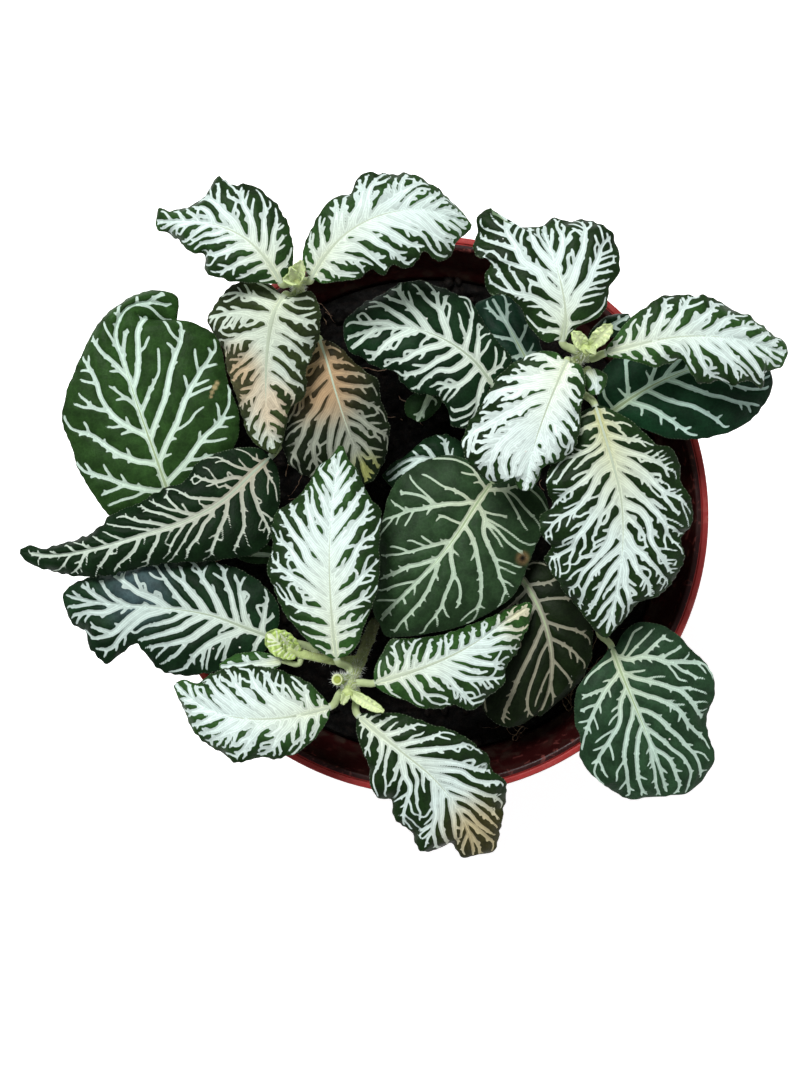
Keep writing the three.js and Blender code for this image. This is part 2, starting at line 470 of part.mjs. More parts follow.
// Where a leaf stalk starts: on the stem's surface at the node's height, facing the blade
function nodePoint(curve, height, target) {
  let low = 0;
  let high = 1;
  for (let k = 0; k < 30; k++) {
    const s = (low + high) / 2;
    if (curve.getPointAt(s).z < height) low = s;
    else high = s;
  }
  const centre = curve.getPointAt(low);
  const along = curve.getTangentAt(low);
  const out = target.clone().sub(centre);
  out.addScaledVector(along, -out.dot(along)).normalize();
  return { start: centre.addScaledVector(out, STEM_RADIUS + STALK_GAP), out };
}

// How far a blade's bends have grown at a share u of its length: almost nothing at either end
function grownAt(u) {
  const opening = Math.sin((Math.PI * Math.min(1, 0.06 + 1.6 * u)) / 2);
  return opening * Math.min(1, 6 * (1 - u) + 0.1);
}

// Height of the blade over its midrib, at a share u of its length and v of its half width
function liftAt(leaf, u, v, side, edgeHeight) {
  const swing = Math.sin(2 * Math.PI * (leaf.waves * u + (side > 0 ? 0.15 : 0.6)));
  const bulge = leaf.puff * grownAt(u) * 4 * v * (1 - v);
  const hang = (edgeHeight - leaf.drop * grownAt(u)) * v ** 2;
  return bulge + hang + leaf.wave * grownAt(u) * swing * v ** 3;
}

// Upper surface of a leaf as rows of points, from its stalk to its tip. Each row runs from the
// left margin over the midrib to the right margin.
function leafRows(leaf) {
  const midrib = route(leaf.midrib);
  const base = midrib.getPointAt(0);
  const tip = midrib.getPointAt(1);
  const leftOf = (s) => new THREE.Vector3().crossVectors(UP, midrib.getTangentAt(s)).normalize();
  const rows = [];

  const { start, out } = nodePoint(stemCurves[leaf.stem], leaf.node, base);
  const reach = start.distanceTo(base) / 3;
  const stalk = new THREE.CubicBezierCurve3(
    start,
    start.clone().addScaledVector(out, reach),
    base.clone().addScaledVector(midrib.getTangentAt(0), -reach),
    base,
  );
  for (let i = 0; i < PETIOLE_ROWS; i++) {
    const s = i / PETIOLE_ROWS;
    const centre = stalk.getPointAt(s);
    const side = new THREE.Vector3().crossVectors(UP, stalk.getTangentAt(s)).normalize();
    const row = [];
    for (let j = HALF_COLUMNS; j >= -HALF_COLUMNS; j--) {
      row.push(centre.clone().addScaledVector(side, (PETIOLE_HALF_WIDTH * j) / HALF_COLUMNS));
    }
    rows.push({ row, ridge: PETIOLE_THICKNESS, edge: BLADE_THICKNESS });
  }

  const margin = (points, sign) => {
    const root = base.clone().addScaledVector(leftOf(0), sign * PETIOLE_HALF_WIDTH);
    const end = tip.clone().addScaledVector(leftOf(1), sign * TIP_HALF_WIDTH);
    return route([[root.x, root.y, 0], ...points, [end.x, end.y, 0]]);
  };
  const edges = { 1: margin(leaf.left, 1), [-1]: margin(leaf.right, -1) };
  const count = leaf.rows ?? (leaf.small ? SMALL_ROWS : BLADE_ROWS);
  for (let i = 0; i <= count; i++) {
    const u = i / count;
    const centre = midrib.getPointAt(u);
    const row = [];
    for (let j = HALF_COLUMNS; j >= -HALF_COLUMNS; j--) {
      const v = Math.abs(j) / HALF_COLUMNS;
      const side = j < 0 ? -1 : 1;
      const edge = edges[side].getPointAt(u);
      row.push(new THREE.Vector3(
        centre.x + (edge.x - centre.x) * v,
        centre.y + (edge.y - centre.y) * v,
        centre.z + liftAt(leaf, u, v, side, edge.z),
      ));
    }
    const ridge = PETIOLE_THICKNESS + (RIDGE_THICKNESS - PETIOLE_THICKNESS) * u;
    rows.push({ row, ridge: ridge + (BLADE_THICKNESS - ridge) * u ** 2, edge: BLADE_THICKNESS });
  }
  return rows;
}

// Solid blade: the upper surface, the same surface moved inwards along its normals, and the edge
// between them. Both faces are split along the same diagonals.
function leafSolid(leaf) {
  const rows = leafRows(leaf);
  const width = rows[0].row.length;
  const halves = (width - 1) / 2;
  const top = rows.flatMap(({ row }) => row);
  const at = (i, j) => top[i * width + j];
  const under = [];
  rows.forEach(({ ridge, edge }, i) => {
    for (let j = 0; j < width; j++) {
      const ahead = at(Math.min(i + 1, rows.length - 1), j).clone().sub(at(Math.max(i - 1, 0), j));
      const right = at(i, Math.min(j + 1, width - 1)).clone().sub(at(i, Math.max(j - 1, 0)));
      const normal = right.cross(ahead).normalize();
      const inner = 1 - Math.abs(j - halves) / halves;
      under.push(at(i, j).clone().addScaledVector(normal, -(edge + (ridge - edge) * inner ** 2)));
    }
  });
  const below = top.length;
  const triangles = [];
  const face = (a, b, c, d) => triangles.push(a, b, c, a, c, d);
  for (let i = 0; i + 1 < rows.length; i++) {
    for (let j = 0; j + 1 < width; j++) {
      const a = i * width + j;
      face(a, a + 1, a + width + 1, a + width);
      triangles.push(below + a, below + a + width + 1, below + a + 1);
      triangles.push(below + a, below + a + width, below + a + width + 1);
    }
    const left = i * width;
    const right = left + width - 1;
    face(left, left + width, below + left + width, below + left);
    face(right, below + right, below + right + width, right + width);
  }
  const end = (rows.length - 1) * width;
  for (let j = 0; j + 1 < width; j++) {
    face(j, below + j, below + j + 1, j + 1);
    face(end + j, end + j + 1, below + end + j + 1, below + end + j);
  }
  return meshFrom([...top, ...under], triangles);
}

// Outer radius of the tapered wall below the collar
const TOP_RADIUS = RIM_RADIUS - LIP_WIDTH - COLLAR_STEP;
const wallRadius = (z) => BASE_RADIUS + ((TOP_RADIUS - BASE_RADIUS) * z) / POT_HEIGHT;

function turnedSolid(profile, sides) {
  const turned = new THREE.LatheGeometry(profile.map(([r, z]) => new THREE.Vector2(r, z)), sides);
  turned.rotateX(Math.PI / 2);
  return turned;
}

// Tapered wall, a wider collar below the rim and a flat lip turned outwards
function potSolid() {
  const collar = POT_HEIGHT - COLLAR_HEIGHT;
  const lipUnder = POT_HEIGHT - LIP_THICKNESS;
  const mouth = RIM_RADIUS - LIP_WIDTH;
  const outside = [
    [0, 0], [BASE_RADIUS - CORNER_BEVEL, 0], [wallRadius(CORNER_BEVEL), CORNER_BEVEL],
    [wallRadius(collar), collar - CORNER_BEVEL], [wallRadius(collar) + COLLAR_STEP, collar],
    [mouth + WALL, lipUnder],
  ];
  const lip = [
    [RIM_RADIUS - LIP_BEVEL, lipUnder], [RIM_RADIUS, lipUnder + LIP_BEVEL],
    [RIM_RADIUS - LIP_BEVEL, POT_HEIGHT], [mouth + LIP_BEVEL, POT_HEIGHT],
    [mouth, POT_HEIGHT - LIP_BEVEL],
  ];
  const inside = [
    [wallRadius(collar) + COLLAR_STEP - WALL, collar + WALL / 2],
    [wallRadius(collar) - WALL, collar - CORNER_BEVEL],
    [wallRadius(FLOOR + CORNER_BEVEL) - WALL, FLOOR + CORNER_BEVEL],
    [BASE_RADIUS - WALL - CORNER_BEVEL, FLOOR], [0, FLOOR],
  ];
  let solid = toSolid(turnedSolid([...outside, ...lip, ...inside], POT_SIDES));
  for (let k = 0; k < DRAIN_HOLES; k++) {
    const angle = (2 * Math.PI * (k + 0.5)) / DRAIN_HOLES;
    const drill = new THREE.CylinderGeometry(DRAIN_RADIUS, DRAIN_RADIUS, 4 * FLOOR, DRAIN_SIDES);
    drill.rotateX(Math.PI / 2);
    drill.translate(DRAIN_CIRCLE * Math.cos(angle), DRAIN_CIRCLE * Math.sin(angle), 0);
    solid = solid.subtract(toSolid(drill));
  }
  return toGeometry(solid);
}

// Uneven soil that fills the pot, with a plain hole for each stem
function soilSolid() {
  const side = (z) => wallRadius(z) - WALL - SOIL_GAP;
  const bottom = FLOOR + FIT_GAP;
  const top = side(SOIL_TOP);
  const heap = turnedSolid([
    [0, bottom], [side(bottom) - SOIL_CHAMFER, bottom],
    [side(bottom + SOIL_CHAMFER), bottom + SOIL_CHAMFER], [top, SOIL_TOP - SOIL_GAP],
    ...SOIL_RINGS.map((share) => [top * share, SOIL_TOP]),
  ], SOIL_SIDES);
  const place = heap.getAttribute('position');
  for (let i = 0; i < place.count; i++) {
    const x = place.getX(i);
    const y = place.getY(i);
    const onTop = place.getZ(i) > SOIL_TOP - SOIL_GAP / 2;
    if (!onTop || Math.hypot(x, y) > top * (SOIL_RINGS[0] + SOIL_RINGS[1]) / 2) continue;
    const wide = Math.sin(0.23 * x + 1) * Math.cos(0.19 * y - 0.4);
    const fine = 0.6 * Math.sin(0.47 * x - 0.31 * y + 2);
    place.setZ(i, SOIL_TOP + SOIL_LUMP * (wide + fine));
  }
  let solid = toSolid(heap);
  for (const points of Object.values(STEMS)) {
    const foot = vector(points[0]);
    const down = foot.clone().sub(vector(points[1])).normalize();
    const deep = foot.clone().addScaledVector(down, ROOT_DEPTH + FIT_GAP);
    const high = foot.clone().addScaledVector(down, -HOLE_MOUTH);
    const bore = STEM_RADIUS * (1 + NODE_SWELL) + 2 * FIT_GAP;
    const drill = tube(new THREE.LineCurve3(deep, high), 1, STEM_SIDES, () => bore);
    solid = solid.subtract(toSolid(drill));
  }
  return toGeometry(solid);
}

function stemSolid(name) {
  let solid = toSolid(stemTube(stemCurves[name], STEM_RADIUS));
  if (name === 'front') {
    solid = solid.add(toSolid(stemTube(stemCurves.side, SIDE_RADIUS)));
    const stump = tube(route(CUT_STUMP), STUMP_STEPS, STEM_SIDES, () => STUMP_RADIUS);
    solid = solid.add(toSolid(stump));
  }
  for (const bud of BUDS[name] ?? []) {
    solid = solid.add(toSolid(budBoat(bud)));
  }
  return toGeometry(solid);
}

const plant = new THREE.Group();

function addMesh(name, geometry, color, roughness) {
  const material = new THREE.MeshStandardMaterial({ color, roughness, metalness: 0 });
  const mesh = new THREE.Mesh(geometry, material);
  mesh.name = name;
  plant.add(mesh);
}

addMesh('pot', potSolid(), POT_RED, 0.45);
addMesh('soil', soilSolid(), SOIL_BROWN, 0.95);
for (const name of Object.keys(STEMS)) {
  addMesh(`stem_${name}`, stemSolid(name), STEM_GREEN, 0.6);
}
const leafColours = { white: LEAF_WHITE, mixed: LEAF_MIXED, green: LEAF_GREEN };
for (const [name, leaf] of Object.entries(LEAVES)) {
  addMesh(`leaf_${name}`, leafSolid(leaf), leafColours[leaf.look], 0.5);
}

export default plant;
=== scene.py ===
"""Looks of the potted nerve plant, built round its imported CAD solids.

Lengths are in millimetres until a mesh is made. Leaves, stems, pot and soil repeat the named values
of the CAD source, so each piece lies where its solid is, and add what the solids leave out.
"""
import json
import math
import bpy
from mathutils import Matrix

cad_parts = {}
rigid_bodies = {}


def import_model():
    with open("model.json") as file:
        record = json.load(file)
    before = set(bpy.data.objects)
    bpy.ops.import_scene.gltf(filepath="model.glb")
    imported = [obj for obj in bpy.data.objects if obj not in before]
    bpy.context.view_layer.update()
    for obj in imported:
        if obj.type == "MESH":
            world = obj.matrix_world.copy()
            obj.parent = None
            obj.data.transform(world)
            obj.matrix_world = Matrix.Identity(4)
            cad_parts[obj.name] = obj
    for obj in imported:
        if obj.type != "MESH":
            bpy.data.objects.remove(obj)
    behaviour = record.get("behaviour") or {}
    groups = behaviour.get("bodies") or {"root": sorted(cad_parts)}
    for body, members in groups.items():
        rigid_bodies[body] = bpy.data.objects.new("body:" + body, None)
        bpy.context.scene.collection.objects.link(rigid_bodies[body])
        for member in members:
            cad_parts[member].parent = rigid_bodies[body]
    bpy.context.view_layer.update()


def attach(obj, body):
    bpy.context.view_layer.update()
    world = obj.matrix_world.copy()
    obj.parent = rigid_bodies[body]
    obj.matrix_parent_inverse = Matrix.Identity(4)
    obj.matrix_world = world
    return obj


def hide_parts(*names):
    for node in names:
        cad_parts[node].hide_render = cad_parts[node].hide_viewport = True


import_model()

import zlib

import bpy
import numpy as np

MM = 0.001
BODY = "root"

# Pot and soil, as in the CAD source
POT_HEIGHT = 100
RIM_RADIUS = 60
LIP_WIDTH = 2.8
LIP_THICKNESS = 1.6
BASE_RADIUS = 42
WALL = 1.4
COLLAR_HEIGHT = 11
COLLAR_STEP = 1.6
CORNER_BEVEL = 1.2
FLOOR = 1.8
DRAIN_HOLES = 6
DRAIN_RADIUS = 4
DRAIN_CIRCLE = 29
SOIL_TOP = 88
SOIL_LUMP = 1.1
SOIL_GAP = 0.6
FIT_GAP = 0.3

# Shoots and blades, as in the CAD source
STEM_RADIUS = 1.35
STEM_TAPER = 0.2
NODE_SPACING = 13
NODE_SWELL = 0.2
ROOT_DEPTH = 16
STALK_GAP = 0.45
PETIOLE_HALF_WIDTH = 0.85
TIP_HALF_WIDTH = 0.5

# How finely the pieces are made
GRID = 0.3
BUD_GRID = 0.16
STALK_SIDES = 12
STEM_SIDES = 20
POT_SIDES = 160


def unit(vectors):
    """Vectors of length 1 with the same directions."""
    return vectors / np.maximum(np.linalg.norm(vectors, axis=-1, keepdims=True), 1e-9)


# Leaves, as in the CAD source: the stem that carries each and the height where its stalk leaves
# that stem, its kind, how far its margin drops, how far the blade puffs up beside the midrib, and
# the height and number of the margin's waves. Then the points of the midrib and of both margins.
LEAVES = {
  "back_left_1": {
    "stem": "back_left", "node": 134.6, "look": "white",
    "drop": 1.6, "puff": 0.7, "wave": 0.9, "waves": 3,
    "midrib": [[-29.5, 45.1, 137.2], [-32.1, 49.2, 138.6], [-36.1, 53.2, 139.2], [-41.5, 55.8, 138.5],
      [-47.9, 56.9, 136.6], [-54.2, 57.3, 133.4]],
    "left": [[-33.1, 44.7], [-37.1, 44.9], [-40.5, 45.4], [-44, 47], [-44.5, 50.4], [-47.4, 51.1],
      [-49.4, 53.4], [-51.6, 55], [-53.6, 55.6]],
    "right": [[-27.3, 47.3], [-26.9, 51.2], [-27.9, 56.1], [-30.7, 60.7], [-35.4, 64], [-38.5, 63.7],
      [-41.7, 65.7], [-44.4, 62.2], [-47.9, 60], [-51.3, 59.4], [-53.5, 60]],
  },
  "back_left_2": {
    "stem": "back_left", "node": 134.6, "look": "white",
    "drop": 1.8, "puff": 0.8, "wave": 0.9, "waves": 4,
    "midrib": [[-23.4, 45.9, 137.4], [-20.8, 49.7, 139], [-16.4, 54.2, 140], [-9.5, 57.7, 140],
      [-1.1, 58.9, 138], [7.8, 56.3, 133.5]],
    "left": [[-25.1, 48.3], [-24.7, 52.2], [-22.6, 56.6], [-19.4, 60.9], [-15.9, 62.3], [-13.7, 65.7],
      [-9, 65.9], [-4.5, 66.3], [1.9, 63], [5.3, 60.1]],
    "right": [[-21.4, 44.7], [-18.3, 45], [-14.9, 45.2], [-11.9, 47.1], [-9.2, 46.1], [-7.8, 47.9],
      [-4, 47.8], [-1.5, 50.8], [1.1, 49.3], [3.5, 50.2], [4.8, 53]],
  },
  "back_left_3": {
    "stem": "back_left", "node": 129.5, "look": "white",
    "drop": 1.6, "puff": 0.8, "wave": 0.9, "waves": 4,
    "midrib": [[-29, 42.9, 133.2], [-31, 39.4, 133.4], [-32.3, 33.4, 131.5], [-32.9, 26.3, 128.5],
      [-32.9, 19.2, 125.5], [-31.7, 12.2, 122]],
    "left": [[-26.3, 43.2], [-23.7, 43.8], [-22, 40.4], [-22.3, 34.9], [-24.1, 30.9], [-25, 27.3],
      [-25.1, 24], [-28.1, 21.4], [-29.2, 17.7], [-30, 14.7]],
    "right": [[-31.7, 45.1], [-35.8, 45.9], [-39.7, 44.9], [-42.4, 42.2], [-44.4, 38.7], [-43.7, 36.7],
      [-41.6, 33], [-40.8, 28.8], [-39.3, 24.5], [-38.1, 19.5], [-36.2, 15]],
  },
  "back_left_4": {
    "stem": "back_left", "node": 119.5, "look": "white",
    "drop": 1.4, "puff": 0.7, "wave": 0.6, "waves": 3,
    "midrib": [[-22.4, 35.2, 122], [-21, 31, 122.4], [-19, 24, 121], [-16.5, 16.5, 118.5],
      [-12.2, 6.8, 114.5]],
    "left": [[-20.6, 35.2], [-18.5, 34], [-15.9, 31.4], [-13.1, 29], [-10.5, 27.2], [-10.2, 24],
      [-8.4, 18.9], [-8.5, 15.3], [-9.1, 12.1], [-10.5, 9]],
    "right": [[-24, 33.6], [-26.3, 29.8], [-28.9, 25.1], [-30.6, 21.5], [-30.9, 16.8],
      [-29.9, 12.6], [-27.9, 9.3], [-22.7, 6.9], [-16.4, 5.4]],
  },
  "back_left_5": {
    "stem": "back_left", "node": 107, "look": "mixed",
    "drop": 1.4, "puff": 0.7, "wave": 0.5, "waves": 4,
    "midrib": [[-33.2, 12, 112.6], [-37, 8.4, 114], [-42.6, 3, 115.6], [-50, -1.2, 116.2],
      [-59, -4.2, 115.6], [-69, -7, 114], [-78, -8.4, 112.2], [-85.5, -7.6, 110.6]],
    "left": [[-31.6, 9.6], [-31, 5], [-31.4, 0], [-32.6, -4.6], [-36, -8], [-41, -9],
      [-47, -9.7], [-54, -10], [-61, -11.2], [-67, -12.6], [-73, -12.8], [-79.4, -11.6], [-83.9, -9.9]],
    "right": [[-35.4, 13.8], [-39.6, 13.9], [-44.4, 12.6], [-48.4, 10.4], [-50.6, 7], [-55, 5.4],
      [-60, 2.6], [-65.8, 0.1], [-69, -2.9], [-73, -4.9], [-77, -6], [-80.6, -7], [-83.5, -6.3]],
  },
  "back_right_1": {
    "stem": "back_right", "node": 137.6, "look": "white",
    "drop": 1.6, "puff": 0.9, "wave": 0.9, "waves": 4,
    "midrib": [[25.2, 33.5, 139.4], [25.7, 37.9, 140.8], [24.8, 43.8, 141.8], [23, 49.7, 141.6],
      [21.2, 55.8, 137.8]],
    "left": [[22.2, 33], [18.8, 36], [17.2, 39.4], [14.2, 42], [10.9, 42.6], [10.2, 45.8],
      [11, 48.6], [7.9, 50], [8.6, 53.7], [8.8, 57.1], [11, 58.9], [12.5, 56.5], [16.7, 55.7]],
    "right": [[28.1, 36], [32.1, 37.8], [34, 40.8], [34, 43.3], [35.8, 45.9], [36.2, 49.2],
      [35.4, 52.4], [33.8, 54.8], [29.5, 57], [26.1, 56.6], [23.6, 57.4]],
  },
  "back_right_2": {
    "stem": "back_right", "node": 134.6, "look": "white",
    "drop": 1.6, "puff": 0.9, "wave": 0.9, "waves": 4,
    "midrib": [[26.2, 29.6, 137.6], [24.4, 25.6, 138.4], [22, 19.5, 137.4], [19.8, 12.5, 134.6],
      [18.4, 4.6, 130.6]],
    "left": [[28.6, 29], [29.9, 26], [29.2, 21.5], [29, 16.6], [28.2, 13.4], [26, 10.6],
      [22.4, 9.4], [21, 6.6], [20, 5]],
    "right": [[24.4, 31.2], [21.4, 31.6], [17.6, 30.2], [13.4, 27.4], [11.2, 24], [9.4, 20.8],
      [6.8, 17], [6, 12.6], [7.8, 9.4], [10.4, 7.2], [13.4, 6], [15.6, 8], [17, 5.4]],
  },
  "back_right_3": {
    "stem": "back_right", "node": 135.4, "look": "white",
    "drop": 1.5, "puff": 0.9, "wave": 0.8, "waves": 4,
    "midrib": [[33.8, 31.2, 138.4], [38, 32.2, 139.4], [45, 33.8, 139.6], [53, 34.4, 138.6],
      [61.5, 33.6, 136], [70.3, 31.4, 131.6]],
    "left": [[35.4, 34.2], [38, 37.5], [41.2, 39.9], [45, 42.3], [50, 42.4], [54.2, 42.1],
      [59, 40], [64, 37.6], [67.4, 35.4], [69.8, 33.8]],
    "right": [[36.6, 30], [40, 29.2], [42.6, 28.3], [45.4, 28.8], [48.4, 29.8], [50.6, 26.4],
      [53, 25.2], [56.2, 26], [59, 25], [61.6, 26], [65.2, 24.9], [65.6, 27.7], [68.8, 28.8]],
  },
  "back_right_4": {
    "stem": "back_right", "node": 127, "look": "white",
    "drop": 1.8, "puff": 0.9, "wave": 0.9, "waves": 5,
    "midrib": [[32.4, 21.2, 132], [33.6, 17, 132.6], [35.8, 10, 131.8], [37.6, 3, 130.4],
      [38.2, -6, 128.2], [37.4, -15, 125.4], [35.4, -25, 121]],
    "left": [[34.6, 21], [37.8, 19.4], [41, 17.2], [44.4, 13.8], [47.2, 13.2], [49.4, 10.2],
      [49.6, 6.6], [51.8, 2.6], [52.2, -2], [49.9, -5], [50.8, -8.2], [49.6, -12.2],
      [46, -16.4], [42.4, -17.6], [40.4, -20], [38, -22.8]],
    "right": [[30, 20.4], [27.8, 18.2], [27.9, 14.4], [25.4, 11.3], [23.4, 9.2], [22.8, 5],
      [24.2, 2], [21.6, -0.8], [22, -4], [24, -6.8], [22.8, -9], [24.6, -12.2], [27, -15.8],
      [29.4, -18.4], [31.6, -21.4], [33.8, -24]],
  },
  "back_right_5": {
    "stem": "back_right", "node": 118.4, "look": "green",
    "drop": 1.4, "puff": 0.8, "wave": 0.4, "waves": 3,
    "midrib": [[35.6, 20, 121.4], [41, 23.8, 122.4], [48, 27.6, 122.8], [57, 30.4, 122],
      [69.5, 30.2, 118.6]],
    "left": [[34, 22.6], [34, 27.4], [37, 31.6], [44, 36], [54, 38.6], [62, 37], [67.6, 33.5]],
    "right": [[38, 19], [42.8, 17.5], [48, 15.5], [54.2, 15.3], [60.6, 16.7], [65.2, 19.2],
      [68.4, 22.9], [70, 26.8]],
  },
  "back_right_6": {
    "stem": "back_right", "node": 131.2, "look": "white",
    "drop": 0.5, "puff": 0.3, "wave": 0.2, "waves": 2, "small": True,
    "midrib": [[31, 28.2, 134], [31.9, 26.2, 134.4], [32.6, 23.4, 133.7]],
    "left": [[33, 28.2], [34.4, 27.2], [34.2, 25]],
    "right": [[30, 26.6], [30.2, 24.8], [31.2, 23.4]],
  },
  "back_right_7": {
    "stem": "back_right", "node": 126.4, "look": "mixed",
    "drop": 0.8, "puff": 0.5, "wave": 0.4, "waves": 2, "small": True,
    "midrib": [[31.4, 34.2, 130.6], [33.8, 36.2, 131], [36.6, 37.8, 130.6], [39.4, 39.4, 129.4]],
    "left": [[31.8, 36.6], [33.8, 38.6], [36.8, 39.8]],
    "right": [[34.4, 34.4], [37.8, 35.8], [39.8, 37.8]],
  },
  "back_right_8": {
    "stem": "back_right", "node": 113.6, "look": "mixed",
    "drop": 1.4, "puff": 0.8, "wave": 0.7, "waves": 4,
    "midrib": [[12.6, 26.6, 119.6], [8.6, 31.4, 121.4], [3, 35.3, 122.4], [-3.5, 37.6, 122.8],
      [-10.5, 37.6, 122], [-17.6, 35.8, 119.6]],
    "left": [[11.6, 24.2], [9.6, 20.6], [7.6, 17.6], [4.4, 18], [3.4, 21.6], [1.6, 23.8],
      [-2.4, 24.4], [-5.4, 26.2], [-7, 28.8], [-11, 29.9], [-14, 31.9], [-16.6, 33.4]],
    "right": [[14.4, 28.4], [16.6, 31.4], [13.8, 35], [11, 38.8], [9.4, 41.6], [7.4, 43.8],
      [3.6, 45.4], [0, 47], [-4.6, 47.3], [-9.6, 45], [-14.4, 42.4], [-17.6, 39]],
  },
  "back_right_9": {
    "stem": "back_right", "node": 115.8, "look": "green",
    "drop": 1.4, "puff": 0.4, "wave": 0.3, "waves": 2,
    "midrib": [[21.4, 28.6, 118.4], [19, 33, 118.4], [16, 38.6, 117.6], [12.6, 45, 115.4]],
    "left": [[18.6, 29], [14.4, 31], [11.2, 35], [9.2, 39.4], [9.4, 43.4]],
    "right": [[23.4, 30.6], [22.6, 35], [20.8, 40], [18, 44.4], [15, 46]],
  },
  "back_right_10": {
    "stem": "back_right", "node": 105.6, "look": "green",
    "drop": 1.6, "puff": 0.9, "wave": 0.5, "waves": 4,
    "midrib": [[12.8, 6.6, 112.4], [9.6, 2.2, 113.6], [5.6, -4, 114.2], [1, -10, 114],
      [-4.4, -15.6, 113], [-11, -22, 110.8]],
    "left": [[16.4, 7.6], [20.6, 7.2], [23.6, 4.6], [24.6, 0.6], [23.4, -3.4], [21.6, -7.4],
      [20, -11.6], [17.6, -16.4], [13, -20], [7, -23], [0.4, -24.6], [-5, -25.4], [-9.2, -25.2]],
    "right": [[11.4, 9.4], [8, 11.4], [4, 12.4], [-0.6, 11.4], [-5, 8.8], [-8, 5.4], [-9.4, 1],
      [-10.6, -4], [-10.6, -9], [-11.2, -14], [-12, -19]],
  },
  "front_1": {
    "stem": "front", "node": 118.4, "look": "white",
    "drop": 1.6, "puff": 0.9, "wave": 0.8, "waves": 5,
    "midrib": [[-19, -29, 123.6], [-19.6, -24, 124.8], [-20.2, -16, 125.6], [-20.4, -8, 125.6],
      [-20, 0, 124.6], [-19.2, 7.5, 122.8], [-18.2, 14, 120]],
    "left": [[-21.2, -28.4], [-24, -26.4], [-27, -23], [-29.8, -19.4], [-31.6, -15], [-33, -10.6],
      [-32, -7], [-32.2, -3], [-31, 0.6], [-27.6, 3], [-24.8, 6.2], [-23, 9.6], [-20.2, 11.8]],
    "right": [[-17, -28.6], [-14.6, -26], [-13.4, -22.4], [-12.2, -19.6], [-10.9, -16],
      [-10.3, -12], [-10.3, -7], [-10.2, -3], [-10, 0.6], [-12, 3.2], [-13.6, 6], [-14.6, 8.8],
      [-16.4, 10.8]],
  },
  "front_2": {
    "stem": "front", "node": 123.4, "look": "white",
    "drop": 1.5, "puff": 0.8, "wave": 0.8, "waves": 4,
    "midrib": [[-20.4, -38.6, 127], [-25, -39.8, 128], [-32, -40.8, 128.2], [-39, -40.6, 127],
      [-45.6, -38.8, 125], [-51.8, -34.4, 122]],
    "left": [[-20.6, -41], [-23, -44.6], [-26.4, -47.4], [-31, -48.9], [-35, -48.8],
      [-38.8, -49.8], [-41.6, -48.2], [-45, -46.4], [-48, -43.4], [-49.8, -40], [-51.2, -37]],
    "right": [[-22, -36], [-24.4, -33.6], [-28, -32], [-32, -30.7], [-37, -30.4], [-41.4, -31],
      [-44.4, -32.2], [-47, -34], [-50, -33.4]],
  },
  "front_3": {
    "stem": "front", "node": 122, "look": "white",
    "drop": 1.4, "puff": 0.8, "wave": 0.7, "waves": 4,
    "midrib": [[-11.2, -34, 124], [-6.6, -32.6, 124], [-1, -30.8, 122.4], [5, -28.4, 119.6],
      [11, -25.2, 116.4], [16, -21.8, 113.6], [21.2, -18.6, 111]],
    "left": [[-11.4, -31.4], [-9.6, -27.6], [-8, -25.3], [-4, -25.2], [1, -24.8], [6, -23.5],
      [11, -21.7], [15.6, -19.9], [19.4, -18.3]],
    "right": [[-9, -36.2], [-5, -37.6], [-2, -39.1], [2, -39.5], [5, -38.7], [7.4, -39.9],
      [10.2, -39.2], [12.2, -37.1], [15.1, -35.1], [15.8, -31.3], [18, -28.8], [19.2, -26],
      [20.4, -23.4], [21, -20.8]],
  },
  "front_4": {
    "stem": "front", "node": 121, "look": "white",
    "drop": 1.7, "puff": 0.9, "wave": 0.9, "waves": 5,
    "midrib": [[-14.4, -40.6, 125.4], [-10.8, -43.6, 126.2], [-5.4, -48, 126], [0, -52.6, 124.6],
      [4.6, -58.2, 122.4], [7.6, -64.2, 119.8], [9.2, -70, 116.6]],
    "left": [[-12.4, -39.8], [-9, -39.8], [-5, -40.2], [-2, -41.4], [2, -42.8], [6, -44.2],
      [9.4, -46.8], [11.6, -49], [12.8, -52.1], [15.2, -54], [15.4, -57.8], [14.7, -61.9],
      [14.1, -65.7], [13.2, -69]],
    "right": [[-15, -43.4], [-13.8, -47.4], [-12.4, -50.8], [-12.2, -54.4], [-10.4, -57.2],
      [-8, -57.8], [-7.6, -60.4], [-6.2, -62.8], [-3.9, -64.2], [-3.1, -67.2], [-0.6, -68.6],
      [2.4, -68.2], [4, -67.2], [5.6, -69.2], [6.9, -70.4]],
  },
  "front_5": {
    "stem": "side", "node": 113.8, "look": "white",
    "drop": 0.6, "puff": 0.4, "wave": 0.3, "waves": 3, "small": True,
    "midrib": [[-30.8, -30.2, 114.8], [-34.6, -30.6, 115.2], [-39, -31, 114.8], [-43.6, -31.4, 113.4]],
    "left": [[-32.4, -32], [-37, -33.2], [-41.4, -33]],
    "right": [[-32.2, -28.8], [-36, -28.2], [-40.4, -28.9]],
  },
  "front_6": {
    "stem": "side", "node": 113.2, "look": "mixed",
    "drop": 1.5, "puff": 0.8, "wave": 0.7, "waves": 4,
    "midrib": [[-32.6, -25.6, 111.4], [-38, -23.6, 112], [-45, -21, 112.4], [-53, -19.6, 112],
      [-62, -19, 111], [-70, -18.2, 109.6], [-77, -16.8, 108]],
    "left": [[-34.6, -28.6], [-38.6, -31], [-43, -32.2], [-48, -33.2], [-53, -33.4], [-57, -31.8],
      [-59.4, -28.6], [-61.4, -27], [-64.8, -29.2], [-67.4, -31], [-70.9, -28.2], [-72.4, -24.4],
      [-75, -22.9], [-76.5, -19.6]],
    "right": [[-31.4, -22.6], [-31.6, -18.6], [-34.6, -14.6], [-39, -11.6], [-44, -10],
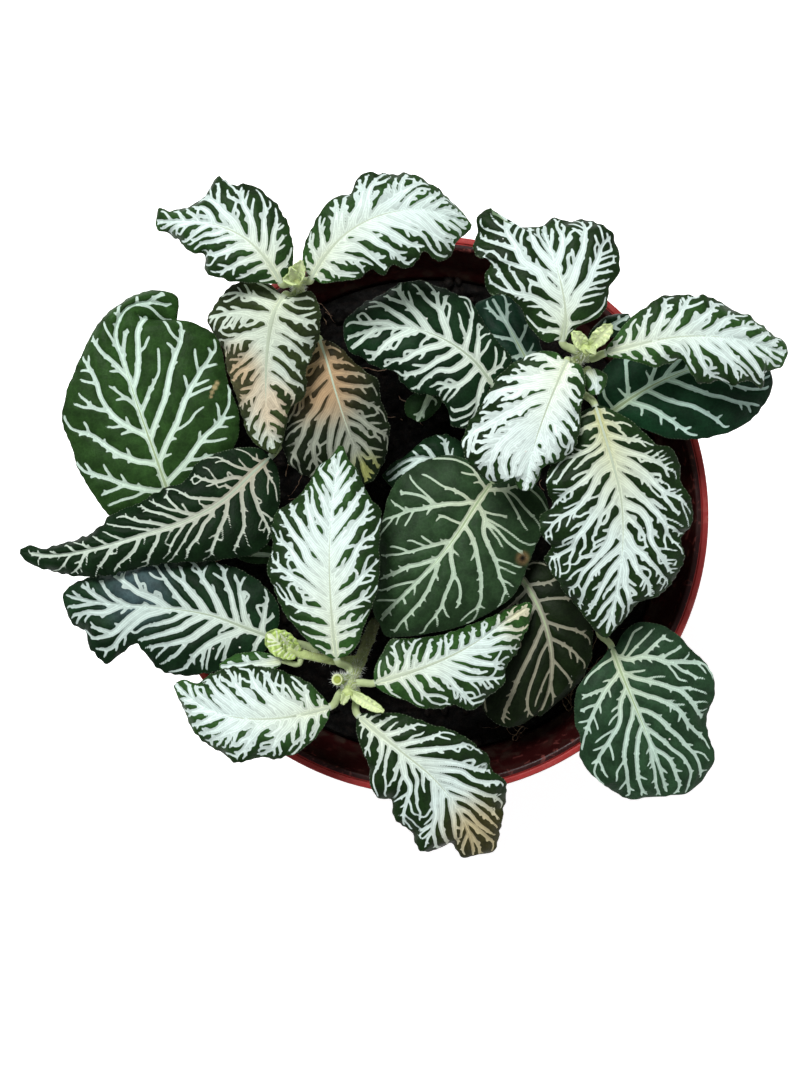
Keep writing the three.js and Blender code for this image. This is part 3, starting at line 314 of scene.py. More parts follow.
      [-50, -9.4], [-57, -10], [-64, -11.4], [-70.6, -12.8], [-75, -14.5]],
  },
  "left_1": {
    "stem": "left", "node": 104.6, "look": "green",
    "drop": 1.4, "puff": 0.9, "wave": 0.5, "waves": 4,
    "midrib": [[-52.2, -1.6, 108.6], [-54.6, 5, 111], [-57.2, 13, 113], [-60.4, 22.5, 114.4],
      [-63, 31, 115], [-64.8, 37.5, 115.4], [-62.6, 42.4, 115.2], [-58, 44, 113.6],
      [-52.4, 43, 110.6]],
    "left": [[-55.6, -2.6], [-61, -2], [-66.4, -0.4], [-70.4, 5], [-73.2, 10], [-74.6, 14.8],
      [-76.2, 18.8], [-75.3, 25], [-73.1, 31], [-71.1, 35.4], [-68.2, 40], [-64.4, 43.5],
      [-60, 46.2], [-55.6, 46.7], [-52.6, 45.5]],
    "right": [[-49, -1], [-46.6, 3], [-44, 8], [-41, 13.4], [-39.6, 17.4], [-39.8, 22],
      [-41.6, 26.6], [-42.6, 31.6], [-44, 36.6], [-47.6, 39.2], [-52, 40.3], [-56.4, 40.4, -4],
      [-59.6, 39.4, -4], [-60.4, 38.2, -2.5], [-56.8, 39.6, -1], [-53.2, 39.9, -1]],
  },
  "left_2": {
    "stem": "left", "node": 98, "look": "green",
    "drop": 0.5, "puff": 0.3, "wave": 0.2, "waves": 2, "small": True,
    "midrib": [[-41.6, -6.6, 103.6], [-38, -8, 104], [-30.8, -8.6, 103]],
    "left": [[-39.6, -5.8], [-35, -6.2], [-32, -7.4]],
    "right": [[-40.6, -9.2], [-36, -10.4], [-32.4, -9.6]],
  },
  "centre_1": {
    "stem": "centre", "node": 102.6, "look": "green",
    "drop": 1.2, "puff": 0.7, "wave": 0.4, "waves": 3,
    "midrib": [[17.8, -11, 105.6], [21.6, -16.6, 106.6], [24.4, -23, 107], [25.8, -30, 106.6],
      [25.4, -36.4, 105.4], [23.2, -42.6, 103.6]],
    "left": [[20.4, -9.6], [25, -10], [29.4, -12.6], [32.4, -17], [34, -22], [34.6, -27],
      [33.6, -32], [31, -36.4], [27, -40]],
    "right": [[16, -13.6], [13.6, -18.6], [11.8, -25], [10.6, -31.6], [10.4, -37.6],
      [12.2, -42.4], [15.6, -44.8], [19.6, -44.4]],
  },
  "centre_2": {
    "stem": "centre", "node": 101.6, "look": "mixed",
    "drop": 1.2, "puff": 0.6, "wave": 0.5, "waves": 3,
    "midrib": [[10.2, 3.4, 105.4], [6.4, 8, 106.6], [1.4, 11.4, 107], [-4, 11.8, 106.6],
      [-9.8, 8, 104.8]],
    "left": [[8.4, 1.4], [3.4, 2.4], [-2.4, 4], [-7.4, 5.4]],
    "right": [[11.4, 7], [9.6, 12], [6.4, 15.8], [2.2, 17.1], [-1.4, 15.8], [-4.6, 13], [-8, 10.8]],
  },
  "right_1": {
    "stem": "right", "node": 104.4, "look": "green",
    "drop": 1.6, "puff": 0.9, "wave": 0.6, "waves": 4,
    "midrib": [[38.2, -27.8, 109.8], [39.6, -32, 110.8], [42, -38, 111.4], [44.8, -44.6, 110.8],
      [47.8, -51.8, 109.2], [50.2, -59.2, 106.6]],
    "left": [[40.2, -25], [43, -22.6], [47, -22.6], [51, -24.4], [54.8, -28.2], [58.5, -31.9],
      [59.7, -36.8], [58.3, -41.8], [58.5, -46], [59.9, -50.4], [58.1, -55.1], [54.4, -58.6]],
    "right": [[36.2, -29.8], [33.6, -32.4], [31, -35.8], [30.2, -40], [30.4, -43.6], [31.5, -47],
      [31.6, -51], [34.4, -54.8], [38, -57.6], [41.9, -59.8], [46.4, -59.4]],
  },
  "back_1": {
    "stem": "back", "node": 101.4, "look": "green",
    "drop": 0.6, "puff": 0.3, "wave": 0.2, "waves": 2, "small": True,
    "midrib": [[0.6, 26.6, 104], [-0.4, 24.2, 105], [-2.6, 19.9, 104.2]],
    "left": [[2.6, 25.8], [2.4, 23.2], [0, 20.6]],
    "right": [[-2.2, 26.4], [-5, 24.2], [-5, 21.4]],
  },
}


# How each kind of leaf is veined, in millimetres: laterals is the distance between the main veins
# where they leave the midrib, gaps the distance between the spots that finer veins grow towards, and
# band how wide the margin without them is. lean holds a main vein's angle from the midrib at the
# blade's base, what it loses by the tip and what it loses on its way out. step is the length of one
# bit of growth, ahead how strongly it keeps to the main veins' course, wander how far it strays.
# tip is the half width at a vein's end, join the power by which veins widen where they meet,
# widest the largest half width, body the share by which veins are wider at the midrib than at the
# margin, links the share of the ends that grow on to the next vein and fillet how widely meeting
# veins melt together.
VEINS = {
    "white": dict(
        midrib=(1.0, 0.4), laterals=3.4, gaps=0.74, band=(0.5, 1.5), lean=(54, 18, 8), step=0.42,
        ahead=1.3, wander=6, tip=0.2, join=2.8, widest=0.6, body=1.1, links=0.9, fillet=0.2,
    ),
    "mixed": dict(
        midrib=(0.85, 0.35), laterals=4.2, gaps=1.2, band=(0.5, 1.8), lean=(60, 26, 8), step=0.5,
        ahead=1.5, wander=6, tip=0.2, join=2.4, widest=0.55, body=0.3, links=0.4, fillet=0.25,
    ),
    "green": dict(
        midrib=(0.85, 0.35), laterals=5.2, gaps=1.6, band=(0.5, 1.4), lean=(66, 30, 6), step=0.55,
        ahead=1.2, wander=6, tip=0.2, join=2.7, widest=0.48, body=0.0, links=0.03, fillet=0.3,
    ),
    "young": dict(
        midrib=(0.4, 0.25), laterals=1.15, gaps=1.6, band=(0.15, 0.35), lean=(50, 10, 4), step=0.25,
        ahead=1.0, wander=4, tip=0.17, join=2.6, widest=0.24, body=0.0, links=0.0, fillet=0.1,
    ),
}

# The same for every kind of leaf, in millimetres or as shares. A bit is one step of a vein's growth.
FAR = 1e9
MIDRIB_SPAN = (0.02, 0.95)      # of the blade's length
MIDRIB_TAPER = 1.2
MIDRIB_FOOT, MIDRIB_FOOT_GROWTH = 0.5, 6
MIDRIB_CHUNK = 6                # bits drawn at once
MARGIN_PULL, MARGIN_PULL_REACH = 1.3, 2
FIRST_LATERAL = (0.1, 0.9)
LATERAL_JITTER = (0.8, 1.2)
BASE_CROWDING, TIP_SPREAD = 0.7, 0.5
LATERAL_START = 0.4             # columns beside the midrib
LATERAL_BITS = 120
LATERAL_CLEARANCE = 0.3         # of the distance between main veins
STRAY_KEPT = 0.8
GOAL_TRIES, GOAL_CROWDING = 5, 0.8
GROWTH_ROUNDS = 70
GOAL_REACHED = 0.5              # of the distance between goals
SEEN_COSINE = -0.3              # a vein end sees no goals behind it
SIDE_PULL_POWER = 8
BRANCH_CHANCE, MOST_BRANCHES = 0.12, 3
AHEAD_LEAST, AHEAD_FADE = 0.5, 1.6
TRUNK_AHEAD = 0.5
BIT_CLEARANCE = 0.38            # of a bit
LINK_FREE_BAND, LINK_FADE = 0.3, 2.5
LINK_REACH = 1.6                # of the distance between goals
LINK_SHARES = ((0.35,), (0.7,), (1.0,))
OWN_BITS = 12                   # bits behind an end that it doesn't link to
TIP_JITTER = (0.8, 1.2)
BODY_FADE = 1.5
SMOOTHING_ROUNDS, SMOOTHING = 2, 0.5
FOOT_FLARE = 1.15
POINT_SHARE, POINT_LEAST = 0.75, 0.12
RIB_BITS = 9                    # main veins with more bits than this rise on the underside
RIB_REACH, VEIN_REACH = 2.4, 0.7


class Route:
    """Smooth curve through points, read by its share of the length."""

    STEPS = 400

    def __init__(self, points):
        given = np.array([list(p) + [0] * (3 - len(p)) for p in points], float)
        place = np.linspace(0, len(given) - 1, self.STEPS + 1)
        first = np.minimum(place.astype(int), len(given) - 2)
        w = (place - first)[:, None]
        padded = np.vstack([2 * given[0] - given[1], given, 2 * given[-1] - given[-2]])
        a, b, c, d = (padded[first + k] for k in range(4))
        spans = [np.sum((q - p) ** 2, 1, keepdims=True) ** 0.25 for p, q in ((a, b), (b, c), (c, d))]
        before, here, after = spans
        start = ((b - a) / before - (c - a) / (before + here) + (c - b) / here) * here
        end = ((c - b) / here - (d - b) / (here + after) + (d - c) / after) * here
        self.points = (b + start * w + (3 * (c - b) - 2 * start - end) * w ** 2
                       + (2 * (b - c) + start + end) * w ** 3)
        run = np.cumsum(np.linalg.norm(np.diff(self.points, axis=0), axis=1))
        self.length = run[-1]
        self.share = np.concatenate([[0], run / run[-1]])

    def at(self, s):
        """Points at shares of the length."""
        return np.stack([np.interp(s, self.share, self.points[:, k]) for k in range(3)], -1)

    def along(self, s):
        """Directions at shares of the length."""
        return unit(self.at(np.minimum(s + 0.002, 1)) - self.at(np.maximum(s - 0.002, 0)))


def margin_distance(grid):
    """Distance of each grid point to the nearest margin."""
    points = grid.reshape(-1, 3).astype(np.float32)
    skip = max(1, grid.shape[0] // 24)
    margin = np.vstack([grid[skip::2, 0], grid[skip::2, -1], grid[-1:, grid.shape[1] // 2]])
    margin = margin.astype(np.float32)
    square = (points ** 2).sum(1)[:, None] + (margin ** 2).sum(1)[None] - 2 * points @ margin.T
    return np.sqrt(np.maximum(square.min(1), 0)).reshape(grid.shape[:2])


class Blade:
    """Upper side of a leaf as a grid of points, base to tip and left to right, with its veins.

    vein holds how far each point lies inside a vein, and ribs the same for the midrib and the veins
    that leave it; both are negative beside the veins. Places on it are rows and columns of the grid.
    """

    def __init__(self, grid, style, rng):
        self.grid, self.style, self.rng = grid, style, rng
        self.rows, self.columns = grid.shape[0] - 1, grid.shape[1] - 1
        self.halves = self.columns // 2
        self.margin = margin_distance(grid)
        self.down, self.across = np.gradient(grid, axis=(0, 1))
        self.outward = self.away_from_middle()
        self.vein = np.full(grid.shape[:2], -1.0)
        self.ribs = np.full(grid.shape[:2], -3.0)
        self.tree = self.midrib()
        self.main_veins()
        self.fine_veins()
        self.link_ends()
        self.draw_tree()

    def cells(self, places):
        """Rows and columns of the grid just before places on it."""
        i = np.clip(places[:, 0], 0, self.rows - 1).astype(int)
        return i, np.clip(places[:, 1], 0, self.columns - 1).astype(int)

    def points(self, places):
        """Points in space of places on the grid."""
        i, j = self.cells(places)
        fr, fc = (places[:, 0] - i)[:, None], (places[:, 1] - j)[:, None]
        g = self.grid
        return ((g[i, j] * (1 - fr) + g[i + 1, j] * fr) * (1 - fc)
                + (g[i, j + 1] * (1 - fr) + g[i + 1, j + 1] * fr) * fc)

    def moved(self, places, moves):
        """Places after moves given as steps in millimetres along the surface."""
        i, j = self.cells(places)
        down, across = self.down[i, j], self.across[i, j]
        e, f, g = (down ** 2).sum(1), (down * across).sum(1), (across ** 2).sum(1)
        a, b = (moves * down).sum(1), (moves * across).sum(1)
        step = np.stack([a * g - b * f, b * e - a * f], 1) / np.maximum(e * g - f * f, 1e-7)[:, None]
        return np.clip(places + step, 0.5, [self.rows - 0.5, self.columns - 0.5])

    def away_from_middle(self):
        """Direction to the nearest margin."""
        slope = np.gradient(self.margin)
        size = [(v ** 2).sum(2) for v in (self.down, self.across)]
        return -unit(sum((s / np.maximum(q, 1e-4))[..., None] * v
                         for s, q, v in zip(slope, size, (self.down, self.across))))

    def course(self, places, stray=0.0):
        """Direction that a main vein takes at each place."""
        i, j = self.cells(places)
        side = np.where(places[:, 1] > self.halves, 1, -1)
        base, late, outward = self.style["lean"]
        out = np.abs(places[:, 1] / self.halves - 1)
        late *= np.sqrt(places[:, 0] / self.rows)
        angle = np.radians(base - late - outward * out + stray)[:, None]
        ahead = unit(np.cos(angle) * unit(self.down[i, j])
                     + np.sin(angle) * unit(self.across[i, j]) * side[:, None])
        pull = MARGIN_PULL * np.exp(-self.margin[i, j] / MARGIN_PULL_REACH)[:, None]
        return unit(ahead + pull * self.outward[i, j])

    def midrib(self):
        """The start of the vein tree: places, parents and spots of the midrib."""
        step = self.style["step"]
        length = np.linalg.norm(np.diff(self.grid[:, self.halves], axis=0), axis=1).sum()
        rows = np.linspace(*MIDRIB_SPAN, round(length / step)) * self.rows
        places = np.stack([rows, np.full(len(rows), float(self.halves))], 1)
        thick, thin = self.style["midrib"]
        along = np.linspace(0, 1, len(rows))
        foot = np.minimum(1, MIDRIB_FOOT + MIDRIB_FOOT_GROWTH * along)
        half = thin + (thick - thin) * (1 - along) ** MIDRIB_TAPER * foot
        for first in range(0, len(rows) - 1, MIDRIB_CHUNK):
            part = slice(first, first + MIDRIB_CHUNK + 1)
            self.draw(places[part], half[part], rib=True)
        self.trunk = len(rows)
        return {"place": places, "parent": np.arange(len(rows)) - 1, "spot": self.points(places)}

    def grow(self, places, parents):
        """Adds bits to the vein tree, each on its parent's end."""
        tree = self.tree
        tree["place"] = np.vstack([tree["place"], places])
        tree["parent"] = np.concatenate([tree["parent"], parents])
        tree["spot"] = np.vstack([tree["spot"], self.points(places)])

    def main_veins(self):
        """Veins that leave the midrib and run out to the margin."""
        style, rng = self.style, self.rng
        trunk = self.tree["spot"][:self.trunk]
        every = style["laterals"] / style["step"]
        for side in (1, -1):
            at = rng.uniform(*FIRST_LATERAL) * every / 2
            begun = len(self.tree["parent"])
            while at < self.trunk - 3:
                foot = int(at)
                spread = BASE_CROWDING + TIP_SPREAD * at / self.trunk
                at += every * rng.uniform(*LATERAL_JITTER) * spread
                place = self.tree["place"][[foot]] + [[0, LATERAL_START * side]]
                parent, stray, end = foot, 0.0, rng.uniform(*style["band"])
                started = len(self.tree["parent"])
                for _ in range(LATERAL_BITS):
                    stray = STRAY_KEPT * stray + rng.normal(0, style["wander"])
                    place = self.moved(place, self.course(place, stray) * style["step"])
                    i, j = self.cells(place)
                    if self.margin[i, j][0] < end:
                        break
                    others = self.points(self.tree["place"][begun:started])
                    gap = np.linalg.norm(others - self.points(place), axis=1)
                    if gap.min(initial=FAR) < LATERAL_CLEARANCE * style["laterals"]:
                        break
                    self.grow(place, [parent])
                    parent = len(self.tree["parent"]) - 1

    def goals(self):
        """Evenly scattered spots that the finer veins grow towards."""
        style, rng = self.style, self.rng
        area = np.linalg.norm(np.cross(self.down, self.across), axis=2)
        free = self.margin > rng.uniform(*style["band"], self.margin.shape)
        weight = (area * free).ravel()
        count = int(GOAL_TRIES * weight.sum() / style["gaps"] ** 2)
        picks = rng.choice(weight.size, count, p=weight / weight.sum())
        spots = self.grid.reshape(-1, 3)[picks]
        closest = style["gaps"] ** 2 * GOAL_CROWDING
        kept = np.full((count, 3), FAR)
        total = 0
        for spot in spots:
            if ((kept[:total] - spot) ** 2).sum(1).min(initial=FAR) > closest:
                kept[total] = spot
                total += 1
        return kept[:total]

    def fine_veins(self):
        """Branches that grow from the main veins until a vein passes near every goal."""
        style, rng, tree = self.style, self.rng, self.tree
        goals = self.goals()
        step = style["step"]
        nearest = np.zeros(len(goals), int)
        gap = np.full(len(goals), FAR)
        fresh = 0
        for _ in range(GROWTH_ROUNDS):
            if fresh < len(tree["spot"]):
                far = np.linalg.norm(goals[:, None] - tree["spot"][None, fresh:], axis=2)
                best = far.argmin(1)
                closer = far[np.arange(len(goals)), best] < gap
                nearest[closer] = best[closer] + fresh
                gap[closer] = far[closer, best[closer]]
            left = gap > GOAL_REACHED * style["gaps"]
            goals, nearest, gap = goals[left], nearest[left], gap[left]
            if not len(goals):
                break
            fresh = len(tree["parent"])
            branches = np.bincount(tree["parent"][1:], minlength=fresh)
            towards = unit(goals - tree["spot"][nearest])
            seen = (towards * self.course(tree["place"][nearest])).sum(1) > SEEN_COSINE
            growing, group = np.unique(nearest[seen], return_inverse=True)
            pull = np.zeros((len(growing), 3))
            side_pull = rng.uniform(size=len(group)) ** SIDE_PULL_POWER
            weight = np.where(branches[nearest[seen]] > 0, side_pull, 1)
            np.add.at(pull, group, towards[seen] * weight[:, None])
            branching = rng.uniform(size=len(growing)) < BRANCH_CHANCE
            closest = np.full(len(growing), FAR)
            np.minimum.at(closest, group, gap[seen])
            able = (branches[growing] == 0) | ((branches[growing] < MOST_BRANCHES) & branching)
            growing, pull, closest = growing[able], pull[able], closest[able]
            if not len(growing):
                continue
            places = tree["place"][growing]
            trunk = growing < self.trunk
            reach = np.clip(closest / style["gaps"] / AHEAD_FADE, AHEAD_LEAST, 1)
            onward = style["ahead"] * reach * ~trunk
            away = unit(pull) + onward[:, None] * self.course(places)
            away += TRUNK_AHEAD * unit(self.down[self.cells(places)]) * trunk[:, None]
            ahead = self.moved(places, unit(away) * step)
            spots = self.points(ahead)
            nearby = np.linalg.norm(spots[:, None] - tree["spot"][None], axis=2).min(1)
            clear = nearby > BIT_CLEARANCE * step
            if clear.any():
                self.grow(ahead[clear], growing[clear])

    def link_ends(self):
        """Lets some vein ends, fewer near the margin, grow on until they meet the next vein."""
        style, rng, tree = self.style, self.rng, self.tree
        parent = tree["parent"]
        count = len(parent)
        ends = np.setdiff1d(np.arange(self.trunk, count), parent)
        margin = self.margin[self.cells(tree["place"][ends])]
        inner = np.clip(margin / LINK_FADE - LINK_FREE_BAND, 0, 1)
        for end in ends[rng.uniform(size=len(ends)) < style["links"] * inner]:
            own = [end]
            while len(own) < OWN_BITS and own[-1] >= self.trunk:
                own.append(parent[own[-1]])
            gap = np.linalg.norm(tree["spot"][:count] - tree["spot"][end], axis=1)
            gap[own] = FAR
            gap[ends] = FAR
            goal = gap.argmin()
            if gap[goal] < LINK_REACH * style["gaps"]:
                way = tree["place"][goal] - tree["place"][end]
                places = tree["place"][end] + way * np.array(LINK_SHARES)
                made = len(tree["parent"])
                self.grow(places, [end, made, made + 1])

    def draw_tree(self):
        """Draws each vein from where it leaves its parent, wider where more veins hang on it."""
        style, tree, rng = self.style, self.tree, self.rng
        place, parent = tree["place"].copy(), tree["parent"]
        count = len(parent)
        load = np.zeros(count)
        half = np.zeros(count)
        heir = np.full(count, -1)
        for k in range(count - 1, 0, -1):
            own = max(load[k], (style["tip"] * rng.uniform(*TIP_JITTER)) ** style["join"])
            half[k] = own ** (1 / style["join"])
            load[parent[k]] += own
            if heir[parent[k]] < 0 or half[k] > half[heir[parent[k]]]:
                heir[parent[k]] = k
        out = np.abs(place[:, 1] / self.halves - 1)
        half = np.minimum(half, style["widest"]) * (1 + style["body"] * (1 - out) ** BODY_FADE)
        inner = np.flatnonzero((heir >= 0) & (np.arange(count) >= self.trunk))
        for _ in range(SMOOTHING_ROUNDS):
            middle = (place[parent[inner]] + place[heir[inner]]) / 2
            place[inner] += SMOOTHING * (middle - place[inner])
        drawn = np.arange(count) < self.trunk
        for k in range(self.trunk, count):
            if drawn[k]:
                continue
            chain = [parent[k], k]
            while heir[chain[-1]] >= 0:
                chain.append(heir[chain[-1]])
            drawn[chain] = True
            widths = half[chain]
            widths[0] = FOOT_FLARE * widths[1]
            widths[-1] = max(POINT_SHARE * widths[-1], POINT_LEAST)
            self.draw(place[chain], widths, rib=parent[k] < self.trunk and len(chain) > RIB_BITS)

    def draw(self, places, half, rib=False):
        """Adds one vein: the grid near it learns how deep inside it each point lies."""
        ends = self.points(places)
        i, j = self.cells(places)
        reach = half.max() + (RIB_REACH if rib else VEIN_REACH)
        row_step = np.maximum(np.linalg.norm(self.down[i, j], axis=1), 0.1)
        column_step = np.maximum(np.linalg.norm(self.across[i, j], axis=1), 0.03)
        tall, wide = (reach / row_step).astype(int) + 1, (reach / column_step).astype(int) + 1
        rows = slice(max((i - tall).min(), 0), (i + tall).max() + 2)
        columns = slice(max((j - wide).min(), 0), (j + wide).max() + 2)
        block = self.grid[rows, columns]
        best = np.full(block.shape[:2], -FAR)
        for k in range(len(ends) - 1):
            step = ends[k + 1] - ends[k]
            size = step @ step
            if size < 1e-9:
                continue
            run = np.clip(((block - ends[k]) @ step) / size, 0, 1)
            gap = np.linalg.norm(block - ends[k] - run[..., None] * step, axis=2)
            np.maximum(best, half[k] + (half[k + 1] - half[k]) * run - gap, out=best)
        near = self.vein[rows, columns]
        fillet = self.style["fillet"]
        melt = np.maximum(fillet - np.abs(near - best), 0) / fillet
        self.vein[rows, columns] = np.maximum(near, best) + melt ** 2 * fillet / 4
        if rib:
            np.maximum(self.ribs[rows, columns], best, out=self.ribs[rows, columns])


def make_object(name, points, quads, tris, material, attributes=None):
    """Smooth mesh object from points in millimetres, corner numbers and values of the points."""
    mesh = bpy.data.meshes.new(name)
    points = np.asarray(points, float)
    mesh.vertices.add(len(points))
    mesh.vertices.foreach_set("co", (points * MM).ravel())
    quads = np.asarray(quads, int).reshape(-1, 4)
    tris = np.asarray(tris, int).reshape(-1, 3)
    corners = np.concatenate([quads.ravel(), tris.ravel()])
    mesh.loops.add(len(corners))
    mesh.loops.foreach_set("vertex_index", corners)
    starts = np.concatenate([np.arange(len(quads)) * 4, len(quads) * 4 + np.arange(len(tris)) * 3])
    mesh.polygons.add(len(starts))
    mesh.polygons.foreach_set("loop_start", starts)
    mesh.update(calc_edges=True)
    mesh.polygons.foreach_set("use_smooth", np.full(len(starts), True))
    for key, values in (attributes or {}).items():
        values = np.asarray(values, np.float32)
        if values.ndim == 1:
            mesh.attributes.new(key, "FLOAT", "POINT").data.foreach_set("value", values)
        else:
            colour = np.concatenate([values, np.ones((len(values), 1), np.float32)], axis=1)
            mesh.attributes.new(key, "FLOAT_COLOR", "POINT").data.foreach_set("color", colour.ravel())
    if material:
        mesh.materials.append(material)
    made = bpy.data.objects.new(name, mesh)
    bpy.context.scene.collection.objects.link(made)
    return made


def finish_piece(piece, slot, *nodes):
    """Puts a piece on the plant's one body and hides the CAD nodes that it replaces. slot is not used.
    """
    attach(piece, BODY)
    if nodes:
        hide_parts(*nodes)


def grid_quads(rows, columns, first=0):
    """Corner numbers of the faces between the points of a grid."""
    i, j = np.meshgrid(np.arange(rows), np.arange(columns), indexing="ij")
    a = first + (i * (columns + 1) + j).ravel()
    return np.stack([a, a + 1, a + columns + 2, a + columns + 1], 1)


def border(rows, columns, first=0):
    """Numbers of the border points of a grid, in a loop: up the left side and down the right."""
    width = columns + 1
    left = np.arange(rows) * width
    top = rows * width + np.arange(columns)
    right = np.arange(rows, 0, -1) * width + columns
    bottom = np.arange(columns, 0, -1)
    return first + np.concatenate([left, top, right, bottom])


def slab(grid, thickness):
    """Closed shell under a grid of points: all points, quads and triangles.

    The underside has every second row and column of the upper side.
    """
    rows, columns = grid.shape[0] - 1, grid.shape[1] - 1
    ahead = np.gradient(grid, axis=0)
    right = np.gradient(grid, axis=1)
    under = (grid - unit(np.cross(right, ahead)) * thickness[..., None])[::2, ::2]
    top = grid.reshape(-1, 3)
    count = len(top)
    quads = grid_quads(rows, columns)
    below = grid_quads(rows // 2, columns // 2, count)[:, ::-1]
    outer, inner = border(rows, columns), border(rows // 2, columns // 2, count)
    a, m, b = outer[::2], outer[1::2], np.roll(outer, -2)[::2]
    c, d = inner, np.roll(inner, -1)
    tris = np.concatenate([np.stack(t, 1) for t in ((a, m, c), (m, d, c), (m, b, d))])
    return np.vstack([top, under.reshape(-1, 3)]), np.vstack([quads, below]), tris


def both_sides(values):
    """Values of the upper side's points, followed by those of the underside's."""
    return np.concatenate([values.reshape(-1, *values.shape[2:]),
                           values[::2, ::2].reshape(-1, *values.shape[2:])])


# A tube along X, give or take this much, starts its rings at Y
LEAST_ACROSS = 0.2


def tube_rings(centres, radii, sides):
    """Rings of points round a line of centres."""
    centres = np.asarray(centres, float)
    along = unit(np.gradient(centres, axis=0))
    across = np.array([1.0, 0, 0]) - along * along[:, :1]
    flat = np.linalg.norm(across, axis=1) < LEAST_ACROSS
    across[flat] = np.array([0, 1.0, 0]) - along[flat] * along[flat, 1:2]
    across = unit(across)
    side = np.cross(along, across)
    angle = np.linspace(0, 2 * np.pi, sides, endpoint=False)
    radii = np.broadcast_to(np.asarray(radii, float), (len(centres),))
    spread = (across[:, None] * np.cos(angle)[None, :, None]
              + side[:, None] * np.sin(angle)[None, :, None])
    return centres[:, None] + spread * radii[:, None, None]


def ring_faces(rings, sides):
    """Quads between rings of points and triangles that close both ends."""
    i, j = np.meshgrid(np.arange(rings - 1), np.arange(sides), indexing="ij")
    a = (i * sides + j).ravel()
    b = (i * sides + (j + 1) % sides).ravel()
    quads = np.stack([a, b, b + sides, a + sides], 1)
    fan = np.arange(1, sides - 1)
    first, last = np.zeros(len(fan), int), np.full(len(fan), (rings - 1) * sides)
    tris = np.vstack([np.stack([first, fan + 1, fan], 1),
                      np.stack([last, last + fan, last + fan + 1], 1)])
    return quads, tris


class Parts:
    """Several closed shells gathered into one mesh, with the same attributes on each."""

    def __init__(self):
        self.points, self.quads, self.tris, self.values = [], [], [], {}
        self.count = 0

    def add(self, points, quads, tris, **values):
        """Adds a shell. Each value is one for all its points or one for each."""
        points = np.asarray(points, float).reshape(-1, 3)
        self.quads.append(np.asarray(quads, int).reshape(-1, 4) + self.count)
        self.tris.append(np.asarray(tris, int).reshape(-1, 3) + self.count)
        self.points.append(points)
        for key, value in values.items():
            value = np.asarray(value, float)
            if value.ndim == 0 or value.shape == (3,):
                value = np.broadcast_to(value, (len(points), *value.shape))
            self.values.setdefault(key, []).append(value)
        self.count += len(points)

    def add_tube(self, centres, radii, sides, **values):
        """Adds a closed tube. Each value is one for all of it or one for each ring."""
        rings = tube_rings(centres, radii, sides)
        quads, tris = ring_faces(len(rings), sides)
        spread = {}
        for key, value in values.items():
            value = np.asarray(value, float)
            per_ring = value.ndim and len(value) == len(rings) and value.shape != (3,)
            spread[key] = np.repeat(value, sides, axis=0) if per_ring else value
        self.add(rings, quads, tris, **spread)

    def object(self, name, material):
        values = {key: np.concatenate(value) for key, value in self.values.items()}
        return make_object(name, np.vstack(self.points), np.vstack(self.quads),
                           np.vstack(self.tris), material, values)


